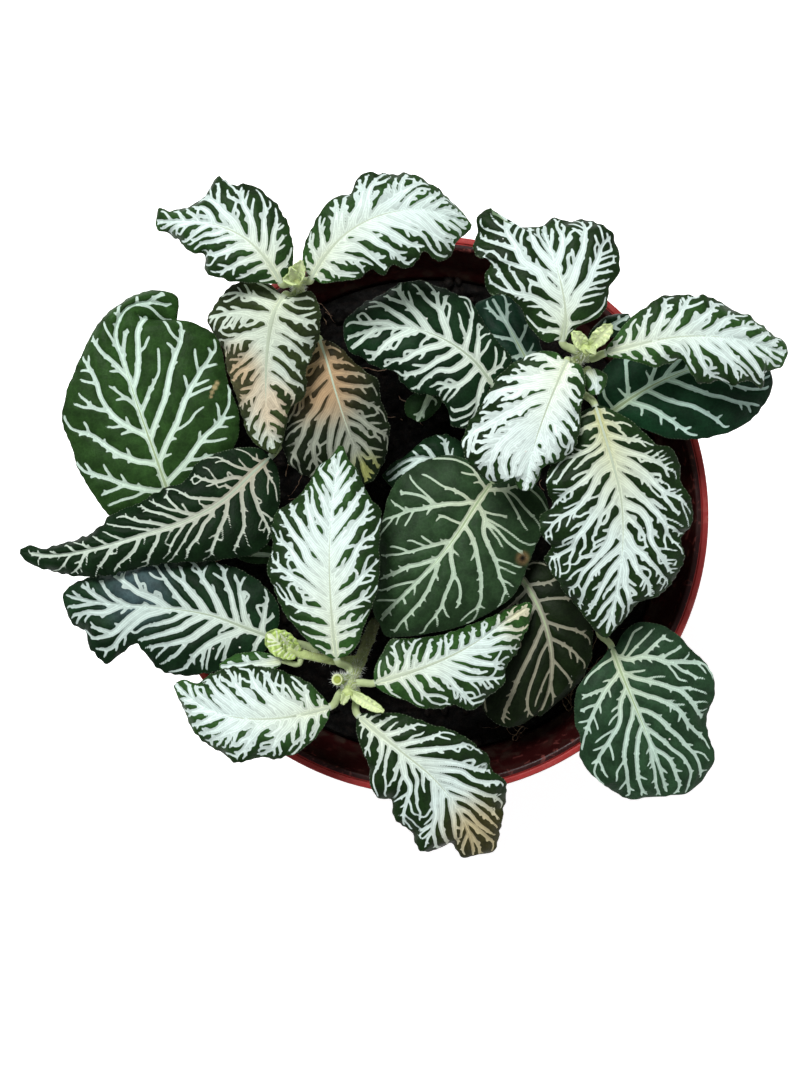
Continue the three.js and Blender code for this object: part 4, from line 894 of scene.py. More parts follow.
class Shade:
    """Node tree of one material, with short calls for the nodes it needs."""

    def __init__(self, name, roughness=0.5, specular=0.3):
        self.material = bpy.data.materials.new(name)
        self.material.use_nodes = True
        self.tree = self.material.node_tree
        self.shader = self.tree.nodes["Principled BSDF"]
        self.shader.inputs["Roughness"].default_value = roughness
        self.shader.inputs["Specular IOR Level"].default_value = specular
        self.place = self.tree.nodes.new("ShaderNodeTexCoord").outputs["Object"]

    def node(self, kind, inputs=(), **settings):
        made = self.tree.nodes.new(kind)
        for key, value in settings.items():
            setattr(made, key, value)
        for key, value in dict(inputs).items():
            if isinstance(value, bpy.types.NodeSocket):
                self.tree.links.new(value, made.inputs[key])
            else:
                made.inputs[key].default_value = value
        return made

    def number(self, name):
        """A number that the mesh gives each point."""
        return self.node("ShaderNodeAttribute", attribute_name=name).outputs["Fac"]

    def tone(self, name):
        """A colour that the mesh gives each point."""
        return self.node("ShaderNodeAttribute", attribute_name=name).outputs["Color"]

    def noise(self, size, detail=2.0, distortion=0.0):
        """Noise from 0 to 1 with features of that size in millimetres."""
        return self.node("ShaderNodeTexNoise", {
            "Vector": self.place, "Scale": 1 / (size * MM), "Detail": detail,
            "Distortion": distortion}).outputs["Fac"]

    def cells(self, size, feature="F1"):
        """Distance within cells of that size in millimetres, to their middle or their edge."""
        return self.node("ShaderNodeTexVoronoi", {"Vector": self.place, "Scale": 1 / (size * MM)},
                         feature=feature).outputs["Distance"]

    def math(self, operation, a, b=0.0):
        return self.node("ShaderNodeMath", {0: a, 1: b}, operation=operation).outputs[0]

    def add(self, a, b):
        return self.math("ADD", a, b)

    def times(self, a, b):
        return self.math("MULTIPLY", a, b)

    def span(self, value, low, high, to_low=0.0, to_high=1.0):
        """Smooth step of a value from to_low at low to to_high at high."""
        return self.node("ShaderNodeMapRange", {
            "Value": value, "From Min": low, "From Max": high, "To Min": to_low,
            "To Max": to_high}, interpolation_type="SMOOTHSTEP").outputs["Result"]

    def mix(self, factor, a, b):
        """Blends colour a into colour b."""
        made = self.tree.nodes.new("ShaderNodeMix")
        made.data_type = "RGBA"
        for key, value in ((0, factor), (6, a), (7, b)):
            if isinstance(value, bpy.types.NodeSocket):
                self.tree.links.new(value, made.inputs[key])
            else:
                made.inputs[key].default_value = (*value, 1) if isinstance(value, tuple) else value
        return made.outputs[2]

    def brighten(self, colour, factor):
        """A colour times a number that varies over the surface."""
        return self.node("ShaderNodeVectorMath", {0: colour, "Scale": factor},
                         operation="SCALE").outputs[0]

    def colour(self, socket):
        self.tree.links.new(socket, self.shader.inputs["Base Color"])

    def roughness(self, socket):
        self.tree.links.new(socket, self.shader.inputs["Roughness"])

    def bump(self, height, depth, strength):
        """Relief of that depth in millimetres."""
        bump = self.node("ShaderNodeBump", {"Height": height, "Distance": depth * MM,
                                            "Strength": strength})
        self.tree.links.new(bump.outputs["Normal"], self.shader.inputs["Normal"])


# Linear colours of the materials, and sizes of the leaves' markings in millimetres
RAGGED_MARGIN = 0.12
AREOLE = 0.95
# The veins' fine lines are painted darker, partly their own fibres and partly the shade of their fine
# ridges
FIBRE_SHADE_FREQUENCY = 17                     # radians of a vein's fine ridges in a millimetre
RIM_TONE = (0.3, 0.36, 0.24)
SPECK_TONE = (0.7, 0.72, 0.66)
SCUFF_TONE = (0.36, 0.1, 0.085)
DIRT_TONE = (0.035, 0.02, 0.014)
WET_PEAT, PEAT, DRY_PEAT = (0.002, 0.0016, 0.0014), (0.007, 0.0045, 0.0036), (0.012, 0.0075, 0.006)
CORKY_TONE = (0.3, 0.22, 0.1)
HAIR_TONES = ((0.62, 0.66, 0.58), (0.8, 0.82, 0.76))
FIBRE_TONES = ((0.1, 0.05, 0.035), (0.32, 0.22, 0.15))
FLOOR_TONES = ((0.86, 0.86, 0.855), (0.9, 0.9, 0.895))
FLOOR_GLOW = 0.72


def leaf_material(name, specular, rim_share):
    """Leaf tissue: the mesh says where the veins are and which colours meet there.

    rim_share is how far the thin rim of the blade takes its own paler colour.
    """
    s = Shade(name, specular=specular)
    ragged = s.times(s.math("SUBTRACT", s.noise(0.5, 2), 0.5), RAGGED_MARGIN)
    inside = s.add(s.number("vein"), ragged)
    is_vein = s.span(inside, -0.06, 0.07)
    mottle = s.span(s.noise(3.2, 4, 0.4), 0.3, 0.7, 0.72, 1.3)
    areoles = s.span(s.cells(AREOLE, "DISTANCE_TO_EDGE"), 0.0, 0.16, 1.22, 1.0)
    tissue = s.brighten(s.brighten(s.tone("lamina"), mottle), areoles)
    streaks = s.span(s.noise(1.5, 3), 0.25, 0.75, 0.93, 1.05)
    # Vein edges and fine lines along the veins are dimmed: partly the veins' own greenish edges and
    # fibres, partly painted shade of their fine relief
    vein_edge_shade = s.span(inside, 0.0, 0.5, 0.8, 1.02)
    fibres = s.span(s.math("SINE", s.times(inside, FIBRE_SHADE_FREQUENCY)), -1, 1, 0.84, 1.03)
    white = s.brighten(s.brighten(s.tone("pale"), streaks), s.times(vein_edge_shade, fibres))
    upper = s.mix(is_vein, tissue, white)
    rim = s.span(s.add(s.number("edge"), s.times(s.noise(0.8), 0.3)), 0.18, 0.42, rim_share, 0.0)
    upper = s.mix(rim, upper, RIM_TONE)
    specks = s.times(s.span(s.cells(4.6), 0.035, 0.05, 1.0, 0.0), s.span(s.noise(11, 1), 0.5, 0.56))
    upper = s.mix(specks, upper, SPECK_TONE)
    lower = s.mix(s.span(inside, -0.25, 0.3), s.brighten(s.tone("lower"), mottle),
                  s.tone("lower_pale"))
    s.colour(s.mix(s.span(s.number("under"), 0.2, 0.7), upper, lower))
    s.roughness(s.span(is_vein, 0, 1, 0.5, 0.6))
    grain = s.add(s.noise(0.32, 2), s.times(s.cells(0.5), 0.7))
    sunk = s.times(s.span(inside, -0.3, 0.4), 1.5)
    s.bump(s.math("SUBTRACT", grain, sunk), 0.1, 0.6)
    return s.material


def pot_material():
    s = Shade("moulded_red_plastic", specular=0.15)
    flow_marks = s.span(s.noise(26, 3, 1.2), 0.3, 0.72, 0.82, 1.12)
    fine = s.span(s.noise(1.4, 4), 0.3, 0.7, 0.94, 1.05)
    red = s.brighten(s.tone("tone"), s.times(flow_marks, fine))
    scuffs = s.times(s.span(s.noise(2.2, 6, 0.8), 0.57, 0.66), s.number("wear"))
    red = s.mix(s.times(scuffs, 0.3), red, SCUFF_TONE)
    dirt = s.times(s.span(s.noise(3.5, 5, 0.5), 0.45, 0.64), s.number("dirt"))
    s.colour(s.mix(s.times(dirt, 0.8), red, DIRT_TONE))
    s.roughness(s.add(s.span(s.noise(0.9, 4), 0.3, 0.7, 0.3, 0.46), s.times(dirt, 0.35)))
    s.bump(s.add(s.noise(0.5, 3), s.times(s.noise(9, 2), 1.5)), 0.06, 0.5)
    return s.material


def soil_material():
    s = Shade("moist_peat", roughness=0.85, specular=0.12)
    grains = s.mix(s.span(s.noise(1.3, 5), 0.42, 0.7), WET_PEAT, PEAT)
    flakes = s.span(s.noise(4.5, 4, 0.6), 0.6, 0.68)
    s.colour(s.brighten(s.mix(s.times(flakes, 0.5), grains, DRY_PEAT), s.number("tone")))
    s.roughness(s.span(s.noise(2.5, 3), 0.35, 0.65, 0.6, 0.95))
    s.bump(s.noise(0.8, 6), 0.7, 0.9)
    return s.material


def stem_material():
    s = Shade("soft_green_stem", specular=0.3)
    along = s.span(s.noise(1.1, 4, 0.6), 0.3, 0.7, 0.8, 1.15)
    tissue = s.brighten(s.tone("tone"), along)
    s.colour(s.mix(s.times(s.span(s.noise(2.6, 3), 0.56, 0.7), 0.3), tissue, CORKY_TONE))
    s.roughness(s.span(s.noise(0.7, 3), 0.3, 0.7, 0.45, 0.62))
    s.bump(s.noise(0.45, 3), 0.08, 0.6)
    return s.material


def hair_material():
    s = Shade("fine_white_hairs", roughness=0.6, specular=0.3)
    s.colour(s.mix(s.noise(0.9, 2), *HAIR_TONES))
    return s.material


def fibre_material():
    s = Shade("dry_root_fibres", roughness=0.8, specular=0.2)
    s.colour(s.mix(s.span(s.noise(2.0, 4), 0.3, 0.7), *FIBRE_TONES))
    s.bump(s.noise(0.3, 3), 0.05, 0.7)
    return s.material


def floor_material():
    s = Shade("plain_pale_floor", roughness=0.9, specular=0.1)
    s.colour(s.mix(s.noise(300, 2), *FLOOR_TONES))
    s.shader.inputs["Emission Color"].default_value = (1, 1, 1, 1)
    s.shader.inputs["Emission Strength"].default_value = FLOOR_GLOW
    return s.material


# Stem routes, from the soil to the growing tip, and the young shoot on the front one's side
STEMS = {
    "back_left": [[-22, 12, 88], [-25, 26, 106], [-26, 38, 120], [-26.3, 44.6, 130],
                  [-26.3, 45.4, 137.5]],
    "back_right": [[15, 12, 88], [20, 18, 104], [24, 23.5, 118], [28, 29.5, 132],
                   [29.9, 31.9, 141]],
    "front": [[-12, -24, 88], [-13.6, -28, 102], [-15.4, -32.4, 116], [-16.8, -36, 127]],
    "left": [[-40, 2, 88], [-43, 1, 97], [-46.4, -0.8, 105.5]],
    "centre": [[21, -2, 88], [19.8, -4, 97], [18.4, -6.4, 104]],
    "right": [[31, -14, 88], [34, -18.6, 97], [36.8, -23, 105.5]],
    "back": [[0.5, 31, 88], [0.6, 30.6, 98], [0.8, 30.2, 102.5]],
}
SIDE_SHOOT = [[-14.6, -30.6, 110], [-21, -30, 112.6], [-27, -28.6, 114], [-29.6, -27.6, 115.6]]
SIDE_RADIUS = 1.05
CUT_STUMP = [[-16, -33.6, 119.5], [-18, -33.4, 123.4], [-18.8, -33.1, 126.4]]
STUMP_RADIUS = 1.15

# Young folded leaves: root, tip, half width and how deep their crumples are
BUDS = {
    "back_left": [([-26.3, 45.2, 136.6], [-25.2, 48.6, 140.6], 1.5, 0.1),
                  ([-26.3, 45.4, 136.6], [-28.6, 45.2, 139.6], 1.3, 0.1),
                  ([-26.4, 45.2, 136.6], [-27.2, 47.2, 141], 1.1, 0.1)],
    "back_right": [([30.6, 32.2, 140], [34.2, 36, 143.6], 1.7, 0.1),
                   ([29.4, 31.8, 140], [26.8, 34.6, 143.6], 1.5, 0.1),
                   ([30, 32, 140], [31, 30.6, 143.4], 0.9, 0.1)],
    "front": [([-16.4, -35.6, 126], [-9.4, -39.2, 129.6], 1.2, 0.1),
              ([-16.8, -35.8, 126], [-17.6, -37.6, 129], 0.9, 0.1),
              ([-27.4, -28.6, 115], [-33.6, -24.4, 117], 3.1, 0.14),
              ([-28.6, -27.8, 115], [-30.6, -24.4, 118.6], 1.3, 0.3)],
}


def rooted_route(points):
    """A stem's route, led on down into the soil."""
    foot, above = np.array(points[0], float), np.array(points[1], float)
    return Route([list(foot + unit(foot - above) * ROOT_DEPTH), *points])


stem_routes = {name: rooted_route(points) for name, points in STEMS.items()}
stem_routes["side"] = Route(SIDE_SHOOT)


# What sets single leaves apart from their kind: tones replaces colours of COLOURS, veins values of
# VEINS, and a third key the strength of the painted light on the tissue beside the midrib. Each of
# spots is a tinted patch: its centre in millimetres, its radius and the colours that veins and
# tissue take there; the notes below say which of them paint shade or a sheen.
TAN = (0.52, 0.4, 0.25)
ORANGE_TAN = (0.4, 0.27, 0.15)
OLIVE = (0.28, 0.3, 0.1)
BROWN_TIP = (0.5, 0.43, 0.25)
# HOLE_RIM is the brown rim of a hole in a leaf; the near-black inside it is painted shade, as no hole
# is cut
HOLE_RIM, HOLE_PAINTED_SHADE = (0.2, 0.13, 0.06), (0.004, 0.004, 0.003)
SCAR = (0.36, 0.28, 0.14)
DENSE_WHITE = dict(laterals=3.0, gaps=0.64, tip=0.2, body=1.0)
TRAITS = {
    "back_left_1": {
        "veins": dict(tip=0.18, body=0.9),
        "tones": {"base": (0.56, 0.61, 0.45)},
        "midrib_painted_light": 1.4,
    },
    "back_left_2": {"veins": DENSE_WHITE},
    "back_left_3": {
        "veins": dict(tip=0.19, body=1.2),
        "midrib_painted_light": 1.0,
        "spots": (((-39.5, 27), 7.5, TAN, (0.04, 0.04, 0.016)),
                  ((-31, 21), 6, (0.62, 0.53, 0.38), None)),
        "tones": {"lamina": (0.014, 0.022, 0.006), "base": (0.56, 0.62, 0.47),
                  "tip": (0.58, 0.66, 0.56)},
    },
    "back_left_4": {
        "veins": dict(tip=0.17, body=0.8),
        "midrib_painted_light": 0.5,
        "spots": (((-22.5, 27.5), 9.5, ORANGE_TAN, (0.034, 0.025, 0.01)),
                  ((-12.5, 8.5), 4.5, OLIVE, None)),
        # Its vein and tissue tones are darkened as painted shade, where it lies under other leaves
        "tones": {"lamina": (0.004, 0.008, 0.002), "base": (0.29, 0.24, 0.14),
                  "tip": (0.26, 0.28, 0.22), "groove": (0.4, 0.3, 0.15)},
    },
    "back_left_5": {
        "veins": dict(gaps=1.1, laterals=4.0, lean=(40, 10, 2), tip=0.13, widest=0.34),
        "tones": {"lamina": (0.003, 0.01, 0.003), "base": (0.4, 0.36, 0.27),
                  "tip": (0.54, 0.62, 0.52), "groove": (0.4, 0.34, 0.22)},
    },
    "back_right_1": {
        "veins": dict(tip=0.17, body=1.0),
        "tones": {"groove": (0.26, 0.33, 0.08)},
        "midrib_painted_light": 0.6,
    },
    "back_right_2": {
        "veins": dict(DENSE_WHITE, tip=0.24, body=1.3),
        "tones": {"base": (0.68, 0.74, 0.58), "tip": (0.72, 0.83, 0.78)},
    },
    "back_right_4": {
        "veins": dict(tip=0.15, body=1.0),
        "midrib_painted_light": 0.2,
        "tones": {"base": (0.5, 0.5, 0.24), "groove": (0.3, 0.3, 0.07)},
    },
    "back_right_5": {
        "veins": dict(laterals=5.6, gaps=1.9, lean=(46, 10, 4), tip=0.24, widest=0.56),
        "tones": {"lamina": (0.004, 0.02, 0.008), "base": (0.44, 0.58, 0.42),
                  "tip": (0.5, 0.68, 0.6)},
    },
    "back_right_8": {
        "veins": dict(laterals=4.2, tip=0.21, widest=0.66, gaps=0.95, lean=(52, 20, 4), links=0.9),
        "tones": {"base": (0.64, 0.7, 0.6), "tip": (0.6, 0.7, 0.62)},
    },
    "back_right_9": {
        "tones": {"lamina": (0.004, 0.017, 0.009), "base": (0.36, 0.48, 0.38),
                  "tip": (0.4, 0.52, 0.46)},
    },
    "back_right_10": {
        "veins": dict(laterals=6.0, gaps=1.5, lean=(56, 26, 4), tip=0.19),
        "tones": {"lamina": (0.015, 0.034, 0.013), "base": (0.56, 0.6, 0.42)},
        # A hole painted on: a brown rim round a spot of painted shade
        "spots": (((19.2, -9), 1.5, HOLE_RIM, (0.16, 0.1, 0.045)),
                  ((19.2, -9), 0.8, HOLE_PAINTED_SHADE, HOLE_PAINTED_SHADE)),
    },
    "front_1": {"veins": dict(tip=0.19, body=1.2)},
    "front_2": {"veins": DENSE_WHITE},
    "front_3": {
        "veins": dict(tip=0.18, body=0.9),
        "spots": (((21, -20), 8, (0.62, 0.6, 0.42), None),),
    },
    "front_4": {
        "veins": dict(tip=0.16, gaps=0.8, body=0.8),
        "midrib_painted_light": 0.2,
        "spots": (((10.5, -65.5), 9.5, BROWN_TIP, (0.028, 0.026, 0.007)),),
    },
    "front_6": {
        "veins": dict(laterals=4.8, tip=0.22, widest=0.7, gaps=1.1, lean=(48, 18, 4), links=0.6),
        "tones": {"base": (0.6, 0.68, 0.58), "tip": (0.5, 0.6, 0.55)},
        # The patch paints a bluish-grey sheen on the tissue
        "spots": (((-61, -16), 8, None, (0.035, 0.06, 0.062)),),
    },
    "left_1": {
        "veins": dict(laterals=7.2, tip=0.25, widest=0.62, gaps=1.6, lean=(54, 22, 6), fillet=0.4),
        "tones": {"lamina": (0.014, 0.038, 0.008), "base": (0.5, 0.62, 0.46),
                  "tip": (0.56, 0.7, 0.6)},
        "spots": (((-44, 27.2), 0.5, SCAR, SCAR), ((-44.5, 26.3), 0.6, SCAR, SCAR),
                  ((-45, 25.3), 0.45, SCAR, SCAR), ((-45.2, 24.4), 0.35, SCAR, SCAR)),
    },
    "centre_1": {
        "veins": dict(tip=0.18),
        # Its vein and tissue tones are darkened as painted shade, where it lies under other leaves
        "tones": {"lamina": (0.004, 0.008, 0.002), "base": (0.28, 0.29, 0.23),
                  "tip": (0.26, 0.25, 0.18)},
    },
    "right_1": {
        "veins": dict(laterals=5.4, gaps=1.1, lean=(42, 14, 2), tip=0.2, widest=0.5),
        "tones": {"lamina": (0.013, 0.034, 0.015), "tip": (0.48, 0.62, 0.52)},
    },
}


# Linear colours of each kind of leaf: between the veins, the veins near the base and near the tip,
# the groove of the midrib near the base, and the veins and tissue of the underside
COLOURS = {
    "white": dict(lamina=(0.006, 0.018, 0.0035), base=(0.59, 0.65, 0.5), tip=(0.63, 0.74, 0.69),
                  groove=(0.54, 0.6, 0.36), lower=(0.13, 0.2, 0.11), lower_pale=(0.42, 0.48, 0.36)),
    "mixed": dict(lamina=(0.004, 0.014, 0.005), base=(0.5, 0.58, 0.46), tip=(0.56, 0.68, 0.62),
                  groove=(0.44, 0.5, 0.32), lower=(0.09, 0.15, 0.09), lower_pale=(0.34, 0.4, 0.3)),
    "green": dict(lamina=(0.01, 0.028, 0.008), base=(0.46, 0.54, 0.36), tip=(0.46, 0.58, 0.44),
                  groove=(0.54, 0.58, 0.34), lower=(0.1, 0.17, 0.08), lower_pale=(0.3, 0.38, 0.22)),
    "young": dict(lamina=(0.36, 0.48, 0.13), base=(0.66, 0.74, 0.42), tip=(0.8, 0.86, 0.64),
                  lower=(0.3, 0.4, 0.12), lower_pale=(0.5, 0.58, 0.28)),
}
STALK_TONE = (0.44, 0.52, 0.27)

# Painted light: how much lighter the dark tissue is painted beside the midrib than at the margin,
# and how far that reaches. Leaves in shade take less of it through their traits.
MIDRIB_PAINTED_LIGHT = {"white": 2.4, "mixed": 0.6, "green": 0.3}
MIDRIB_PAINTED_LIGHT_REACH = 6

# Bends of a blade: where along it they open and close, and its two sides' places in a wave
OPENING, OPENING_RATE = 0.06, 1.6
CLOSING, CLOSING_RATE = 0.1, 6
WAVE_START = {"left": 0.15, "right": 0.6}
EDGE_CHECKS = 60

# Frills of the margin, outwards and up: (height, distance between crests) of each layer of waves,
# and how quickly they fade towards the midrib
WAVE_LAYERS = 3
SCALLOPS, SCALLOP_FADE = ((0.11, 2.2), (0.14, 4.6)), 7
CURLS, CURL_FADE = ((0.16, 2.8), (0.34, 5.4)), 5
GREEN_FRILL, SMALL_FRILL = 0.5, 0.4

# Relief of the upper side: tissue puffed up between the main veins, groove of the midrib, sunk veins
PUFF, PUFF_REACH, PUFF_FADE = 0.42, 0.9, 2.5
GROOVE, GROOVE_WIDTH, GROOVE_START = 0.08, 0.6, 0.3
SUNK, SUNK_WIDTH, SUNK_START = 0.07, 0.2, 0.5
SMALL_RELIEF = 0.5

# Thickness of a blade at its edge, what it gains further in, and what its ribs add underneath
EDGE_THICKNESS, INNER_THICKNESS, THICKNESS_REACH = 0.2, 0.34, 1.6
RIB_THICKNESS, RIB_WIDTH, RIB_START = 0.22, 0.5, 0.5

# Stalk and the midrib's rib under the blade: radii, how far down they lie, and their bits
STALK_RADII, STALK_BITS, STALK_FOOT = (0.84, 0.72), 14, 0.3
STALK_DROP, STALK_END_DROP, SMALL_END_DROP = 0.35, 0.62, 0.4
RIB_SPAN, RIB_POINTS = (0.02, 0.9), 30
RIB_SHARES, RIB_RADII = (0, 0.3, 0.9), (0.8, 0.55, 0.16)
RIB_SINK, RIB_DROP = 0.55, 0.3
SMALL_STALK, SMALL_RIB = 0.75, 0.7


def sideways(direction):
    """Level direction to the left of another."""
    return unit(np.cross([0, 0, 1], direction))


def grown_at(u):
    """How far a blade's bends have grown at a share u of its length."""
    opening = np.sin(np.pi * np.minimum(1, OPENING + OPENING_RATE * u) / 2)
    return opening * np.minimum(1, CLOSING_RATE * (1 - u) + CLOSING)


def blade_grid(leaf):
    """Points of a blade's upper side, with the waves of its margin and no veins yet."""
    midrib = Route(leaf["midrib"])
    root, tip = midrib.at(0.0), midrib.at(1.0)
    edges = {}
    for side, name in ((1, "left"), (-1, "right")):
        start = root + side * PETIOLE_HALF_WIDTH * sideways(midrib.along(0.0))
        end = tip + side * TIP_HALF_WIDTH * sideways(midrib.along(1.0))
        edges[side] = Route([[*start[:2]], *leaf[name], [*end[:2]]])
    length = max(midrib.length, 0.75 * edges[1].length, 0.75 * edges[-1].length)
    rows = 2 * math.ceil(length / GRID / 2)
    shares = np.linspace(0, 1, EDGE_CHECKS)
    middle = midrib.at(shares)[:, :2]
    half = max(np.linalg.norm(edges[s].at(shares)[:, :2] - middle, axis=1).max() for s in (1, -1))
    halves = 2 * math.ceil(half / GRID / 2)
    u = np.linspace(0, 1, rows + 1)
    grown = grown_at(u)
    centre = midrib.at(u)
    grid = np.zeros((rows + 1, 2 * halves + 1, 3))
    for side in (1, -1):
        edge = edges[side].at(u)
        columns = slice(0, halves + 1) if side > 0 else slice(halves, 2 * halves + 1)
        v = np.abs(np.linspace(1, -1, 2 * halves + 1)[columns])[None, :]
        start = WAVE_START["left" if side > 0 else "right"]
        swing = np.sin(2 * np.pi * (leaf["waves"] * u + start))
        lift = (leaf["puff"] * grown[:, None] * 4 * v * (1 - v)
                + (edge[:, 2] - leaf["drop"] * grown)[:, None] * v ** 2
                + leaf["wave"] * (grown * swing)[:, None] * v ** 3)
        grid[:, columns, :2] = centre[:, None, :2] + (edge - centre)[:, None, :2] * v[..., None]
        grid[:, columns, 2] = centre[:, None, 2] + lift
    return grid, grown


def waves(run, size, rng):
    """Smooth uneven wave at places along a line, about -1 to 1, with crests that far apart."""
    total = np.zeros(len(run))
    for _ in range(WAVE_LAYERS):
        total += np.sin(2 * np.pi * (run / (size * rng.uniform(0.75, 1.35)) + rng.uniform()))
    return total / WAVE_LAYERS ** 0.5


def stacked_waves(run, layers, rng):
    """Sum of waves given as (height, distance between crests)."""
    return sum(height * waves(run, size, rng) for height, size in layers)


def ruffle(grid, grown, frill, rng):
    """Adds the small frills of a margin to a blade."""
    columns = grid.shape[1] - 1
    halves = columns // 2
    for side, column in ((1, 0), (-1, columns)):
        edge = grid[:, column]
        out = edge - grid[:, halves]
        out[:, 2] = 0
        out = unit(out)
        steps = np.linalg.norm(np.diff(edge, axis=0), axis=1)
        run = np.concatenate([[0], np.cumsum(steps)])
        scallop = stacked_waves(run, SCALLOPS, rng)
        curl = stacked_waves(run, CURLS, rng)
        part = slice(0, halves + 1) if side > 0 else slice(halves, columns + 1)
        v = np.abs(np.linspace(1, -1, columns + 1)[part])[None, :, None]
        grid[:, part] += (frill * grown * scallop)[:, None, None] * out[:, None] * v ** SCALLOP_FADE
        grid[:, part, 2] += (frill * grown * curl)[:, None] * v[..., 0] ** CURL_FADE


def relief(blade, grown, depth):
    """Height that the veins add to the upper side: sunk veins and tissue puffed up between them."""
    beside = np.clip(-blade.ribs, 0, 3)
    fade = np.clip(blade.margin / PUFF_FADE, 0, 1) * grown[:, None]
    puffed = PUFF * depth * (1 - np.exp(-beside / PUFF_REACH)) * fade
    groove = (-GROOVE * depth * np.clip(blade.ribs / GROOVE_WIDTH + GROOVE_START, 0, 1)
              * np.clip(grown, 0, 1)[:, None])
    veins = -SUNK * depth * np.clip(blade.vein / SUNK_WIDTH + SUNK_START, 0, 1)
    return puffed + groove + veins


def blade_thickness(blade):
    """Thickness at each point: thin at the margin and thickest over the midrib and main veins."""
    return (EDGE_THICKNESS + INNER_THICKNESS * np.clip(blade.margin / THICKNESS_REACH, 0, 1)
            + RIB_THICKNESS * np.clip(blade.ribs / RIB_WIDTH + RIB_START, 0, 1)
            * np.clip(blade.margin, 0, 1))


def between(a, b, share):
    """Colours from a to b by each point's share."""
    return np.asarray(a) + (np.asarray(b) - np.asarray(a)) * share[..., None]


def stalk_route(leaf):
    """Centre line of a leaf stalk, from its stem to the blade's base."""
    midrib = Route(leaf["midrib"])
    base = midrib.at(0.0)
    curve = stem_routes[leaf["stem"]]
    heights = curve.points[:, 2]
    s = float(np.interp(leaf["node"], heights, curve.share))
    centre, along = curve.at(s), curve.along(s)
    out = base - centre
    out = unit(out - along * (out @ along))
    start = centre + out * (STEM_RADIUS + STALK_GAP)
    reach = np.linalg.norm(start - base) / 3
    inner = [start, start + out * reach, base - midrib.along(0.0) * reach, base]
    t = np.linspace(0, 1, STALK_BITS)[:, None]
    line = ((1 - t) ** 3 * inner[0] + 3 * t * (1 - t) ** 2 * inner[1]
            + 3 * t ** 2 * (1 - t) * inner[2] + t ** 3 * inner[3])
    foot = centre + out * STALK_FOOT
    return np.vstack([foot, line]), midrib


def stain(grid, pale, lamina, spot):
    """Blends other colours in round a point, given in millimetres, out to a radius."""
    centre, radius, pale_to, lamina_to = spot
    gap = np.linalg.norm(grid[..., :2] - np.array(centre), axis=2)
    share = np.clip(1.3 - gap / radius, 0, 1)
    share = share * share * (3 - 2 * share)
    if pale_to is not None:
        pale = pale + (np.array(pale_to) - pale) * share[..., None]
    if lamina_to is not None:
        lamina = lamina + (np.array(lamina_to) - lamina) * share[..., None]
    return pale, lamina


def blade_colours(grid, tones, midrib_painted_light, spots):
    """Colours of the veins and of the tissue between them at each point of a blade."""
    rows, columns = grid.shape[0] - 1, grid.shape[1] - 1
    v = np.abs(np.linspace(1, -1, columns + 1))[None, :]
    u = np.linspace(0, 1, rows + 1)[:, None] + 0 * v
    pale = between(tones["base"], tones["tip"], np.clip(u * 1.6 + v * 0.5, 0, 1))
    from_midrib = np.linalg.norm(grid - grid[:, [columns // 2]], axis=2)
    groove = np.exp(-(from_midrib / GROOVE_WIDTH) ** 2) * np.clip(0.8 - 3.2 * u, 0, 1)
    pale += (np.array(tones["groove"]) - pale) * groove[..., None]
    # Painted light: the dark tissue is painted lighter near the midrib, more on well-lit leaves
    lit = 1 + midrib_painted_light * np.exp(-(from_midrib / MIDRIB_PAINTED_LIGHT_REACH) ** 2)
    lamina = np.array(tones["lamina"]) * lit[..., None]
    for spot in spots:
        pale, lamina = stain(grid, pale, lamina, spot)
    return pale, lamina


def add_blade(parts, blade, thickness, **values):
    """Adds a blade as a closed shell that knows its veins, its margin and its underside."""
    points, quads, tris = slab(blade.grid, thickness)
    upper = blade.vein.size
    parts.add(points, quads, tris, vein=both_sides(blade.vein), edge=both_sides(blade.margin),
              under=np.concatenate([np.zeros(upper), np.ones(len(points) - upper)]), **values)


def add_stalk(parts, leaf, tones):
    """Adds the stalk, which goes on as the midrib's rib under the blade."""
    small = leaf.get("small", False)
    line, midrib = stalk_route(leaf)
    along = np.linspace(*RIB_SPAN, RIB_POINTS)
    rib_size = np.interp(along, RIB_SHARES, RIB_RADII) * (SMALL_RIB if small else 1)
    below = midrib.at(along) - np.array([0, 0, 1]) * (rib_size * RIB_SINK + RIB_DROP)[:, None]
    drops = np.linspace(STALK_DROP, SMALL_END_DROP if small else STALK_END_DROP, len(line))
    line = line - np.array([0, 0, 1]) * drops[:, None]
    radii = np.linspace(*STALK_RADII, len(line)) * (SMALL_STALK if small else 1)
    on_blade = np.concatenate([np.zeros(len(line) - 1), np.ones(len(below) + 1)])
    parts.add_tube(np.vstack([line, below]), np.concatenate([radii, rib_size]), STALK_SIDES,
                   vein=1.0, edge=5.0, under=on_blade, pale=STALK_TONE, lamina=tones["lamina"],
                   lower=tones["lower"], lower_pale=tones["lower_pale"])


